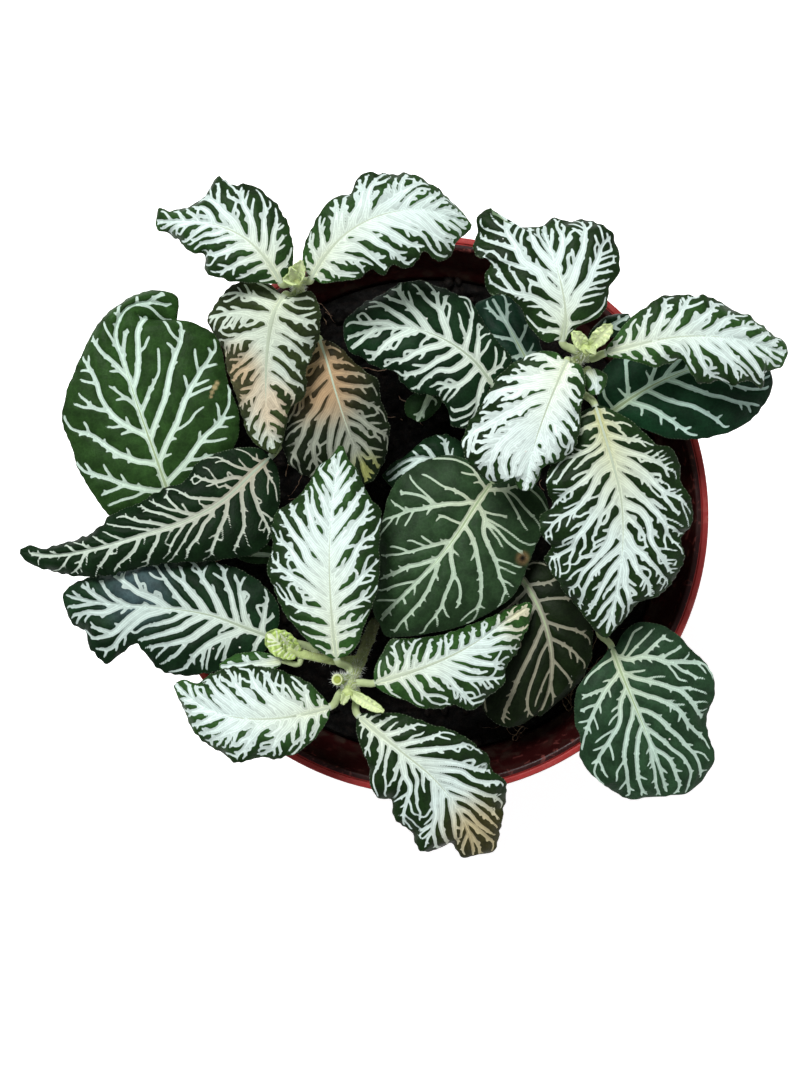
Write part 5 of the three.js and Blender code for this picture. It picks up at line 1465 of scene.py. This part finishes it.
def make_leaf(name, leaf):
    rng = np.random.default_rng(zlib.crc32(name.encode()))
    look = leaf["look"]
    traits = TRAITS.get(name, {})
    small = leaf.get("small", False)
    grid, grown = blade_grid(leaf)
    frill = (GREEN_FRILL if look == "green" else 1) * (SMALL_FRILL if small else 1)
    ruffle(grid, grown, frill, rng)
    blade = Blade(grid, dict(VEINS[look], **traits.get("veins", {})), rng)
    grid[..., 2] += relief(blade, grown, SMALL_RELIEF if small else 1)
    tones = dict(COLOURS[look], **traits.get("tones", {}))
    # Strength of the painted light on the tissue beside the midrib
    midrib_painted_light = traits.get("midrib_painted_light", MIDRIB_PAINTED_LIGHT[look])
    pale, lamina = blade_colours(grid, tones, midrib_painted_light, traits.get("spots", []))
    parts = Parts()
    add_blade(parts, blade, blade_thickness(blade), pale=both_sides(pale), lamina=both_sides(lamina),
              lower=tones["lower"], lower_pale=tones["lower_pale"])
    add_stalk(parts, leaf, tones)
    made = parts.object(f"blade_{name}", leaf_materials[look])
    finish_piece(made, f"leaf_{look}", f"leaf_{name}")


leaf_materials = {
    "white": leaf_material("white_veined_leaf", 0.1, 0.4),
    "mixed": leaf_material("netted_leaf", 0.06, 0.3),
    "green": leaf_material("green_leaf", 0.07, 0.2),
    "young": leaf_material("young_leaf", 0.3, 0.3),
}
for leaf_name, leaf in LEAVES.items():
    make_leaf(leaf_name, leaf)


# Hairs: thickness, roots sunk into the stem, and their number and length on each part of a shoot as
# (share where they start, share where they end, number, length)
HAIR_RADIUS = 0.05
HAIR_ROOT = 0.12
HAIRS_ON_STEM = ((0.72, 0.99, 420, 1.15), (0.3, 0.75, 160, 0.7))
HAIRS_ON_SIDE_SHOOT = (0.05, 0.98, 120, 0.8)
HAIRS_ON_STUMP = (0.1, 0.95, 240, 1.3)

STEM_FOOT_TONE = (0.2, 0.2, 0.1)
STEM_TIP_TONE = (0.42, 0.5, 0.2)
STEM_STEP = 0.9
STEM_UNEVENNESS = 0.03
STEM_EDGES, EDGE_HEIGHT = 4, 0.045
STUMP_SKIN, STUMP_RIM, STUMP_PITH = (0.3, 0.4, 0.12), (0.62, 0.68, 0.38), (0.3, 0.36, 0.06)

# Young leaves: how far they arch and cup, from which crumple on they show veins, and the distance
# between crumples
ARCH = 0.25
CUP, CUP_DROP = 0.75, 0.15
CRUMPLED = 0.1
CRUMPLE_LENGTH = 1.5


def stem_radius(curve, radius, s):
    """Radius at shares of the length: thinner upwards, with a swelling at each node."""
    ring = np.cos(2 * np.pi * s * curve.length / NODE_SPACING)
    return radius * (1 - STEM_TAPER * s) * (1 + NODE_SWELL * np.maximum(0, ring) ** 4)


def add_hairs(hairs, curve, radius, low, high, count, size, rng):
    """Fine hairs that stand out from a stem between two shares of its length."""
    s = rng.uniform(low, high, count)
    centres, along = curve.at(s), curve.along(s)
    out = rng.normal(size=(count, 3))
    out = unit(out - along * (out * along).sum(1, keepdims=True))
    roots = centres + out * (stem_radius(curve, radius, s)[:, None] - HAIR_ROOT)
    lean = along * rng.uniform(-0.1, 0.55, (count, 1))
    tips = roots + (out + lean) * (size * rng.uniform(0.5, 1.2, (count, 1)))
    third = 2 * np.pi / 3
    for root, tip in zip(roots, tips):
        axis = unit(tip - root)
        a = unit(np.cross(axis, [0.3, 0.2, 0.9]))
        b = np.cross(axis, a)
        ring = [root + HAIR_RADIUS * (a * math.cos(k * third) + b * math.sin(k * third))
                for k in range(3)]
        hairs.add([*ring, tip], [], [[0, 1, 3], [1, 2, 3], [2, 0, 3], [0, 2, 1]])


def add_stem(parts, curve, radius, rng, base_tone, tip_tone):
    s = np.linspace(0, 1, max(12, round(curve.length / STEM_STEP)))
    line = curve.at(s)
    uneven = 1 + STEM_UNEVENNESS * waves(s * curve.length, 3.0, rng)
    rings = tube_rings(line, stem_radius(curve, radius, s) * uneven, STEM_SIDES)
    angle = np.linspace(0, 2 * np.pi, STEM_SIDES, endpoint=False)
    ridge = 1 + EDGE_HEIGHT * np.cos(STEM_EDGES * angle)[None, :, None]
    rings = line[:, None] + (rings - line[:, None]) * ridge
    quads, tris = ring_faces(len(line), STEM_SIDES)
    tone = np.repeat(between(base_tone, tip_tone, s ** 1.5), STEM_SIDES, axis=0)
    parts.add(rings, quads, tris, tone=tone)


def young_leaf(parts, root, tip, width, crumple, rng):
    """A leaf that is still half folded, as an arched boat with the first traces of veins."""
    root, tip = np.array(root, float), np.array(tip, float)
    length = np.linalg.norm(tip - root)
    middle = (root + tip) / 2 + np.array([0, 0, ARCH * length])
    rows = 2 * math.ceil(length * 1.1 / BUD_GRID / 2)
    halves = 2 * math.ceil(width * 1.3 / BUD_GRID / 2)
    t = np.linspace(0, 1, rows + 1)[:, None]
    line = (1 - t) ** 2 * root + 2 * t * (1 - t) * middle + t ** 2 * tip
    along = unit(np.gradient(line, axis=0))
    across = unit(np.cross(along, [0, 0, 1]))
    up = np.cross(across, along)
    q = np.linspace(-1, 1, 2 * halves + 1)[None, :]
    shape = (0.3 + 0.7 * np.sin(np.pi * (0.06 + 0.9 * t))) * np.minimum(1, 0.15 + 6 * (1 - t))
    half = width * shape
    frill = stacked_waves(t[:, 0] * length, ((0.12, 1.1), (0.1, 2.2)), rng)[:, None]
    rise = (CUP * np.abs(q) ** 1.5 - CUP_DROP) * np.minimum(1, half) + frill * np.abs(q) ** 4 * shape
    turn = t * length / CRUMPLE_LENGTH + 1.1 * np.abs(q)
    crumples = np.sin(2 * np.pi * turn + rng.uniform(0, 6))
    rise = rise + crumple * crumples * np.abs(q) * shape
    spread = half * q * (1 - 0.12 * np.abs(q)) + 0 * t
    grid = line[:, None] + across[:, None] * spread[..., None] + up[:, None] * rise[..., None]
    blade = Blade(grid, VEINS["young"], rng)
    grid[..., 2] -= 0.06 * np.clip(blade.ribs / 0.15 + 0.5, 0, 1)
    tones = COLOURS["young"]
    veined = crumple > CRUMPLED
    pale = between(tones["base"], tones["tip"], (t + 0 * q) * veined)
    lamina = between(tones["base"], tones["lamina"], np.full(pale.shape[:2], 1 if veined else 0.25))
    add_blade(parts, blade, 0.24 + 0.3 * np.clip(blade.ribs / 0.3 + 0.4, 0, 1),
              pale=both_sides(pale), lamina=both_sides(lamina), lower=tones["lower"],
              lower_pale=tones["lower_pale"])


def make_shoot(name):
    rng = np.random.default_rng(zlib.crc32(name.encode()))
    curve = stem_routes[name]
    parts, hairs = Parts(), Parts()
    add_stem(parts, curve, STEM_RADIUS, rng, STEM_FOOT_TONE, STEM_TIP_TONE)
    for patch in HAIRS_ON_STEM:
        add_hairs(hairs, curve, STEM_RADIUS, *patch, rng)
    if name == "front":
        side = stem_routes["side"]
        add_stem(parts, side, SIDE_RADIUS, rng, STEM_TIP_TONE, STEM_TIP_TONE)
        add_hairs(hairs, side, SIDE_RADIUS, *HAIRS_ON_SIDE_SHOOT, rng)
        stump = Route(CUT_STUMP)
        add_stump(parts, stump)
        add_hairs(hairs, stump, STUMP_RADIUS, *HAIRS_ON_STUMP, rng)
    finish_piece(parts.object(f"shoot_{name}", stem_shade), "stem", f"stem_{name}")
    finish_piece(hairs.object(f"hairs_{name}", hair_shade), "stem")
    if name in BUDS:
        buds = Parts()
        for root, tip, width, crumple in BUDS[name]:
            young_leaf(buds, root, tip, width, crumple, rng)
        finish_piece(buds.object(f"young_leaves_{name}", leaf_materials["young"]), "stem")


def add_stump(parts, curve):
    """Stub of a cut shoot: a short tube with a sunken pith."""
    s = np.linspace(0, 1, 14)
    line = curve.at(s)
    up = curve.along(1.0)
    wall = [(line[-1] + up * 0.12, 0.96), (line[-1] + up * 0.14, 0.84), (line[-1] + up * 0.02, 0.72),
            (line[-1] - up * 0.35, 0.6), (line[-1] - up * 0.45, 0.3)]
    centres = np.vstack([line, [c for c, _ in wall]])
    radii = STUMP_RADIUS * np.concatenate([np.ones(len(line)), [r for _, r in wall]])
    across = unit(np.cross(up, [0, 1, 0]))
    side = np.cross(up, across)
    angle = np.linspace(0, 2 * np.pi, STEM_SIDES, endpoint=False)
    ring = np.cos(angle)[:, None] * across + np.sin(angle)[:, None] * side
    rings = centres[:, None] + ring[None] * radii[:, None, None]
    quads, tris = ring_faces(len(rings), STEM_SIDES)
    tones = [STUMP_SKIN] * len(line) + [STUMP_RIM] * 3 + [STUMP_PITH] * 2
    parts.add(rings, quads, tris, tone=np.repeat(tones, STEM_SIDES, axis=0))


stem_shade, hair_shade = stem_material(), hair_material()
for stem_name in STEMS:
    make_shoot(stem_name)


# Pot: outer radius at the top of the wall's taper, how fine its corners and drain holes are, and
# its colours: the wall's own red, painted light on the top of the lip and painted shade over the
# whole inside. The lip takes the painted light from a height up, over a rise, out from a little
# inside the mouth. LIP_TOP says which points of the profile are on top, and LIP_POINTS how many
# come before the inside. Points that the drain holes made are lighter than UNCOLOURED.
TOP_RADIUS = RIM_RADIUS - LIP_WIDTH - COLLAR_STEP
CORNER_STEPS = 6
HOLE_EDGE_ANGLE = math.radians(50)
DRILL_HEIGHTS = (-3, 0, 3, 6)
DRILL_SIDES = 32
WALL_TONE, LIP_PAINTED_LIGHT_TONE, INSIDE_PAINTED_SHADE_TONE = (0.17, 0.017, 0.015), (0.3, 0.03, 0.028), (0.022, 0.003, 0.003)
LIP_LIGHT_FROM, LIP_LIGHT_RISE, LIP_LIGHT_IN = 97.5, 2, 0.4
LIP_TOP, LIP_POINTS = 0.45, 20
UNCOLOURED = 0.9
HOLE_WEAR, HOLE_DIRT = 0.1, 0.4

# Soil: finer lumps as (distance between crests, height), and how its surface is laid out
ROUGHNESS = ((9, 0.35),) * 2 + ((5, 0.28),) * 2 + ((3, 0.22),) * 2 + ((1.8, 0.15),) * 3
SOIL_SIDES = 220
SOIL_RINGS = 92
SOIL_EDGE, SOIL_EDGE_WIDTH = 52.5, 3
SOIL_CORNER = 2.2
CRUMB_SPREAD = 52
BURIED_CRUMBS, BURIED_SIZES = 900, (0.5, 1.6)
WALL_LIGHTNESS, TOP_LIGHTNESS, CRUMB_LIGHTNESS = 0.6, 0.75, 0.35

# Litter on the soil: loose crumbs, and root fibres, many of them in one sector by the pot's wall
LOOSE_CRUMBS, LOOSE_SIZES = 420, (0.4, 1.5)
LUMP_RADIUS = 1.9
FIBRES_LAID, FIBRES_IN_SECTOR = 70, 34
SECTOR, SECTOR_RADII = (-68, -38), (40, 52)
FIBRE_SPREAD = 50
FIBRE_LIFT, FIBRE_RADII = (0.4, 2.2), (0.07, 0.17)
FIBRE_STEP, FIBRE_BEND, WALL_TURN = 0.7, 0.35, 1.2
FIBRE_END, FIBRE_SIDES = 0.4, 6


def wall_radius(z):
    """Outer radius of the wall at a height."""
    return BASE_RADIUS + (TOP_RADIUS - BASE_RADIUS) * z / POT_HEIGHT


def rounded(corner, before, after, radius):
    """Points of a rounded corner of a profile, between the two points next to it."""
    corner, before, after = (np.array(p, float) for p in (corner, before, after))
    a = corner + unit(before - corner) * radius
    b = corner + unit(after - corner) * radius
    t = np.linspace(0, 1, CORNER_STEPS)[:, None]
    return (1 - t) ** 2 * a + 2 * t * (1 - t) * corner + t ** 2 * b


def profile_curve(points):
    """Profile of a turned part: each point is (radius, height, rounding, wear, dirt)."""
    out, facts = [], []
    for k, (r, z, rounding, *rest) in enumerate(points):
        if rounding and 0 < k < len(points) - 1:
            bend = rounded((r, z), points[k - 1][:2], points[k + 1][:2], rounding)
        else:
            bend = np.array([[r, z]])
        out.append(bend)
        facts += [rest] * len(bend)
    return np.vstack(out), np.array(facts, float)


def turned(profile, sides, start=0):
    """Rings of points of a turned part. start is the angle of the first point of each ring."""
    angle = start + np.linspace(0, 2 * np.pi, sides, endpoint=False)
    r, z = profile[:, :1], profile[:, 1:]
    return np.stack([r * np.cos(angle), r * np.sin(angle), z + 0 * angle], -1)


def colour_holes(mesh, under, above):
    """Gives the points that the drain holes made, which are white, the colours round them."""
    points = np.empty(len(mesh.vertices) * 3, np.float32)
    mesh.vertices.foreach_get("co", points)
    z = points[2::3] / MM
    tones = np.empty(len(z) * 4, np.float32)
    mesh.attributes["tone"].data.foreach_get("color", tones)
    tones = tones.reshape(-1, 4)
    cut = tones[:, :3].min(axis=1) > UNCOLOURED
    tones[cut, :3] = np.where((z[cut] < FLOOR / 2)[:, None], under, above)
    mesh.attributes["tone"].data.foreach_set("color", tones.ravel())
    for name, value in (("wear", HOLE_WEAR), ("dirt", HOLE_DIRT)):
        values = np.empty(len(z), np.float32)
        mesh.attributes[name].data.foreach_get("value", values)
        values[cut] = value
        mesh.attributes[name].data.foreach_set("value", values)


def pot_profile():
    """Profile of the pot from the middle of its underside round the lip to that of its floor."""
    collar = POT_HEIGHT - COLLAR_HEIGHT
    under = POT_HEIGHT - LIP_THICKNESS
    mouth = RIM_RADIUS - LIP_WIDTH
    return profile_curve([
        (0.5, 0, 0, 0.1, 0.2), (26, 0, 0, 0.1, 0.2), (34, 0, 0, 0.2, 0.2),
        (BASE_RADIUS, 0, 1.2, 1, 0.3), (wall_radius(30), 30, 0, 0.2, 0.15),
        (wall_radius(60), 60, 0, 0.2, 0.1), (wall_radius(collar), collar - CORNER_BEVEL, 0.8, 0.3, 0.1),
        (wall_radius(collar) + COLLAR_STEP, collar, 0.7, 0.9, 0.2),
        (mouth + WALL, under, 0.5, 0.2, 0.3), (RIM_RADIUS, under, 0.45, 0.6, 0.1),
        (RIM_RADIUS, POT_HEIGHT, 0.5, 1, 0.05), (RIM_RADIUS - 1.25, POT_HEIGHT, 0.2, 0.6, 0.1),
        (RIM_RADIUS - 1.4, POT_HEIGHT - 0.4, 0.1, 0, 1), (RIM_RADIUS - 1.55, POT_HEIGHT, 0.2, 0.5, 0.2),
        (mouth, POT_HEIGHT, 0.5, 0.9, 0.2),
        (wall_radius(collar) + COLLAR_STEP - WALL, collar + WALL / 2, 0.8, 0.2, 0.7),
        (wall_radius(collar) - WALL, collar - CORNER_BEVEL, 0.8, 0.1, 1),
        (wall_radius(50) - WALL, 50, 0, 0, 1),
        (wall_radius(FLOOR) - WALL, FLOOR, 1.5, 0, 1), (34, FLOOR, 0, 0, 1), (26, FLOOR, 0, 0, 1),
        (0.5, FLOOR, 0, 0, 1),
    ])


def make_pot():
    profile, facts = pot_profile()
    # Half a step of turn keeps the spokes of the floor off the corners of the drain holes.
    rings = turned(profile, POT_SIDES, math.pi / POT_SIDES)
    quads, tris = ring_faces(len(rings), POT_SIDES)
    # Painted light on the top of the lip, painted shade over the whole inside
    on_lip = profile[:, 0] > RIM_RADIUS - LIP_WIDTH - LIP_LIGHT_IN
    lit = np.clip((profile[:, 1] - LIP_LIGHT_FROM) / LIP_LIGHT_RISE, 0, 1) * on_lip
    lip = np.argmax(profile[:, 1] > POT_HEIGHT - LIP_TOP)
    inside = np.arange(len(profile)) > lip + LIP_POINTS
    tone = np.where(inside[:, None], INSIDE_PAINTED_SHADE_TONE, between(WALL_TONE, LIP_PAINTED_LIGHT_TONE, lit))
    values = {"tone": np.repeat(tone, POT_SIDES, axis=0),
              "wear": np.repeat(facts[:, 0], POT_SIDES), "dirt": np.repeat(facts[:, 1], POT_SIDES)}
    pot = make_object("turned_pot", rings.reshape(-1, 3), quads, tris, pot_material(), values)
    drills = Parts()
    for k in range(DRAIN_HOLES):
        angle = 2 * math.pi * (k + 0.5) / DRAIN_HOLES
        x, y = DRAIN_CIRCLE * math.cos(angle), DRAIN_CIRCLE * math.sin(angle)
        drills.add_tube([[x, y, z] for z in DRILL_HEIGHTS], DRAIN_RADIUS, DRILL_SIDES)
    drill = drills.object("drain_drills", None)
    cut = pot.modifiers.new("drain", "BOOLEAN")
    cut.operation, cut.object, cut.solver = "DIFFERENCE", drill, "EXACT"
    shaped = bpy.data.meshes.new_from_object(pot.evaluated_get(bpy.context.evaluated_depsgraph_get()))
    shaped.set_sharp_from_angle(angle=HOLE_EDGE_ANGLE)
    # The drain holes' points above the floor's middle take the inside's painted shade
    colour_holes(shaped, tone[0], tone[-1])
    pot.modifiers.clear()
    pot.data = shaped
    bpy.data.objects.remove(drill)
    finish_piece(pot, "pot", "pot")


def soil_height(x, y):
    """Height of the soil's surface: the broad lumps of the CAD soil and finer ones on them."""
    wide = np.sin(0.23 * x + 1) * np.cos(0.19 * y - 0.4)
    fine = 0.6 * np.sin(0.47 * x - 0.31 * y + 2)
    rng = np.random.default_rng(77)
    rough = 0
    for size, height in ROUGHNESS:
        turn = rng.uniform(0, 2 * np.pi)
        run = 2 * np.pi * (x * math.cos(turn) + y * math.sin(turn)) / size
        bend = 1.5 * np.sin(2 * np.pi * y / size / 1.7)
        rough = rough + height * np.sin(run + bend + rng.uniform(0, 6))
    edge = np.clip((SOIL_EDGE - np.hypot(x, y)) / SOIL_EDGE_WIDTH, 0, 1)
    return SOIL_TOP + (SOIL_LUMP * (wide + fine) * 0.9 + rough) * edge


def soil_radius(z):
    return wall_radius(z) - WALL - SOIL_GAP


def buried_crumbs(x, y):
    """Height that crumbs half sunk in the soil add to its surface."""
    rng = np.random.default_rng(5)
    centres = rng.uniform(-CRUMB_SPREAD, CRUMB_SPREAD, (BURIED_CRUMBS, 2))
    sizes = rng.uniform(*BURIED_SIZES, BURIED_CRUMBS)
    height = 0
    for (cx, cy), size in zip(centres, sizes):
        near = np.hypot(x - cx, y - cy)
        height = np.maximum(height, size * 0.9 * np.sqrt(np.clip(1 - (near / size) ** 2, 0, 1)))
    return height


def make_soil():
    shares = np.concatenate([[0.02], np.linspace(0.03, 1, SOIL_RINGS)])
    angle = np.linspace(0, 2 * np.pi, SOIL_SIDES, endpoint=False)
    radius = soil_radius(SOIL_TOP) * shares[::-1]
    x, y = radius[:, None] * np.cos(angle), radius[:, None] * np.sin(angle)
    crumbs = buried_crumbs(x, y)
    edge = np.clip((soil_radius(SOIL_TOP) - np.hypot(x, y)) / 1.5, 0, 1)
    top = np.stack([x, y, soil_height(x, y) + crumbs * edge], -1)
    bottom = FLOOR + FIT_GAP
    corner = bottom + SOIL_CORNER
    side = [[0.5, bottom], [soil_radius(bottom) - SOIL_CORNER, bottom], [soil_radius(corner), corner],
            [soil_radius(40), 40], [soil_radius(SOIL_TOP - 3), SOIL_TOP - 3]]
    walls = turned(np.array(side), SOIL_SIDES)
    rings = np.concatenate([walls, top])
    quads, tris = ring_faces(len(rings), SOIL_SIDES)
    tone = np.concatenate([np.full(walls.shape[:2], WALL_LIGHTNESS),
                           TOP_LIGHTNESS + CRUMB_LIGHTNESS * np.clip(crumbs, 0, 1)])
    soil = make_object("peat", rings.reshape(-1, 3), quads, tris, soil_shade, {"tone": tone.ravel()})
    finish_piece(soil, "soil", "soil")


def lump(centre, size, rng):
    """Small uneven crumb of soil."""
    golden = (1 + 5 ** 0.5) / 2
    corners = np.array([[-1, golden, 0], [1, golden, 0], [-1, -golden, 0], [1, -golden, 0],
                        [0, -1, golden], [0, 1, golden], [0, -1, -golden], [0, 1, -golden],
                        [golden, 0, -1], [golden, 0, 1], [-golden, 0, -1], [-golden, 0, 1]])
    faces = [[0, 11, 5], [0, 5, 1], [0, 1, 7], [0, 7, 10], [0, 10, 11], [1, 5, 9], [5, 11, 4],
             [11, 10, 2], [10, 7, 6], [7, 1, 8], [3, 9, 4], [3, 4, 2], [3, 2, 6], [3, 6, 8],
             [3, 8, 9], [4, 9, 5], [2, 4, 11], [6, 2, 10], [8, 6, 7], [9, 8, 1]]
    stretch = rng.uniform(0.6, 1.3, 3) * size / LUMP_RADIUS
    return centre + corners * stretch * rng.uniform(0.75, 1.2, (12, 1)), faces


def make_crumbs(rng):
    crumbs = Parts()
    for _ in range(LOOSE_CRUMBS):
        r, turn = CRUMB_SPREAD * rng.uniform() ** 0.5, rng.uniform(0, 2 * np.pi)
        size = rng.uniform(*LOOSE_SIZES)
        x, y = r * math.cos(turn), r * math.sin(turn)
        points, faces = lump(np.array([x, y, float(soil_height(x, y)) + 0.5 * size]), size, rng)
        crumbs.add(points, [], faces, tone=rng.uniform(0.5, 2.4))
    finish_piece(crumbs.object("soil_crumbs", soil_shade), "soil")


def fibre_line(x, y, rng):
    """A wandering line over the soil that starts at a place and turns away from the pot's wall."""
    heading = rng.uniform(0, 2 * np.pi)
    lift = rng.uniform(*FIBRE_LIFT)
    steps = int(rng.integers(8, 22))
    line = []
    for n in range(steps):
        if math.hypot(x, y) > CRUMB_SPREAD:
            heading += WALL_TURN
        z = float(soil_height(x, y)) + 0.3 + lift * math.sin(math.pi * n / steps)
        line.append([x, y, z])
        heading += rng.normal() * FIBRE_BEND
        x += FIBRE_STEP * math.cos(heading)
        y += FIBRE_STEP * math.sin(heading)
    return line


def make_fibres(rng):
    fibres = Parts()
    for k in range(FIBRES_LAID):
        if k < FIBRES_IN_SECTOR:
            turn, r = math.radians(rng.uniform(*SECTOR)), rng.uniform(*SECTOR_RADII)
        else:
            turn, r = rng.uniform(0, 2 * np.pi), FIBRE_SPREAD * rng.uniform() ** 0.5
        line = fibre_line(r * math.cos(turn), r * math.sin(turn), rng)
        radii = rng.uniform(*FIBRE_RADII) * np.linspace(1, FIBRE_END, len(line))
        fibres.add_tube(line, radii, FIBRE_SIDES)
    finish_piece(fibres.object("root_fibres", fibre_material()), "soil")


soil_shade = soil_material()
make_pot()
make_soil()
litter_rng = np.random.default_rng(11)
make_crumbs(litter_rng)
make_fibres(litter_rng)


# The camera looks straight down, as in the photo: its place over the pot, in millimetres, the
# distance to the rim, and the photo's height as seen at the rim.
CAMERA_PLACE = (-6.2, -3.86, 500)
PHOTO_SIZE = (800, 1067)
RIM_MM_PER_PIXEL = 0.2143
SENSOR = 36

# Lights: place in metres, size, power and colour
LIGHTS = {
    "window": ((-0.35, 0.55, 1.3), 0.5, 22.5, (0.98, 0.99, 1)),
    "fill": ((0.9, -0.5, 0.9), 1.2, 4, (1, 0.98, 0.95)),
}
LIT_POINT = (0, 0, 0.11)
SKY, SKY_STRENGTH = (0.9, 0.95, 1, 1), 0.24
FLOOR_HALF = 3000


def make_camera():
    data = bpy.data.cameras.new("overhead")
    data.sensor_width = SENSOR
    seen = PHOTO_SIZE[1] * RIM_MM_PER_PIXEL
    data.lens = SENSOR * (CAMERA_PLACE[2] - POT_HEIGHT) / seen
    data.clip_start, data.clip_end = 0.01, 20
    camera = bpy.data.objects.new("overhead", data)
    camera.location = [c * MM for c in CAMERA_PLACE]
    bpy.context.scene.collection.objects.link(camera)
    bpy.context.scene.camera = camera


def make_light(name, place, size, power, colour):
    data = bpy.data.lights.new(name, "AREA")
    data.shape, data.size, data.energy, data.color = "DISK", size, power, colour
    light = bpy.data.objects.new(name, data)
    light.location = place
    target = np.array(LIT_POINT) - np.array(place)
    azimuth = math.atan2(target[1], target[0])
    tilt = math.acos(-target[2] / np.linalg.norm(target))
    light.rotation_euler = (tilt, 0, azimuth - math.pi / 2)
    bpy.context.scene.collection.objects.link(light)


def make_stage():
    corners = [[-FLOOR_HALF, -FLOOR_HALF, 0], [FLOOR_HALF, -FLOOR_HALF, 0],
               [FLOOR_HALF, FLOOR_HALF, 0], [-FLOOR_HALF, FLOOR_HALF, 0]]
    floor = make_object("floor", corners, [[0, 1, 2, 3]], [], floor_material())
    for name, light in LIGHTS.items():
        make_light(name, *light)
    world = bpy.data.worlds.new("studio")
    world.use_nodes = True
    background = world.node_tree.nodes["Background"]
    background.inputs["Color"].default_value = SKY
    background.inputs["Strength"].default_value = SKY_STRENGTH
    bpy.context.scene.world = world
    bpy.context.scene.view_settings.view_transform = "Standard"


make_camera()
make_stage()
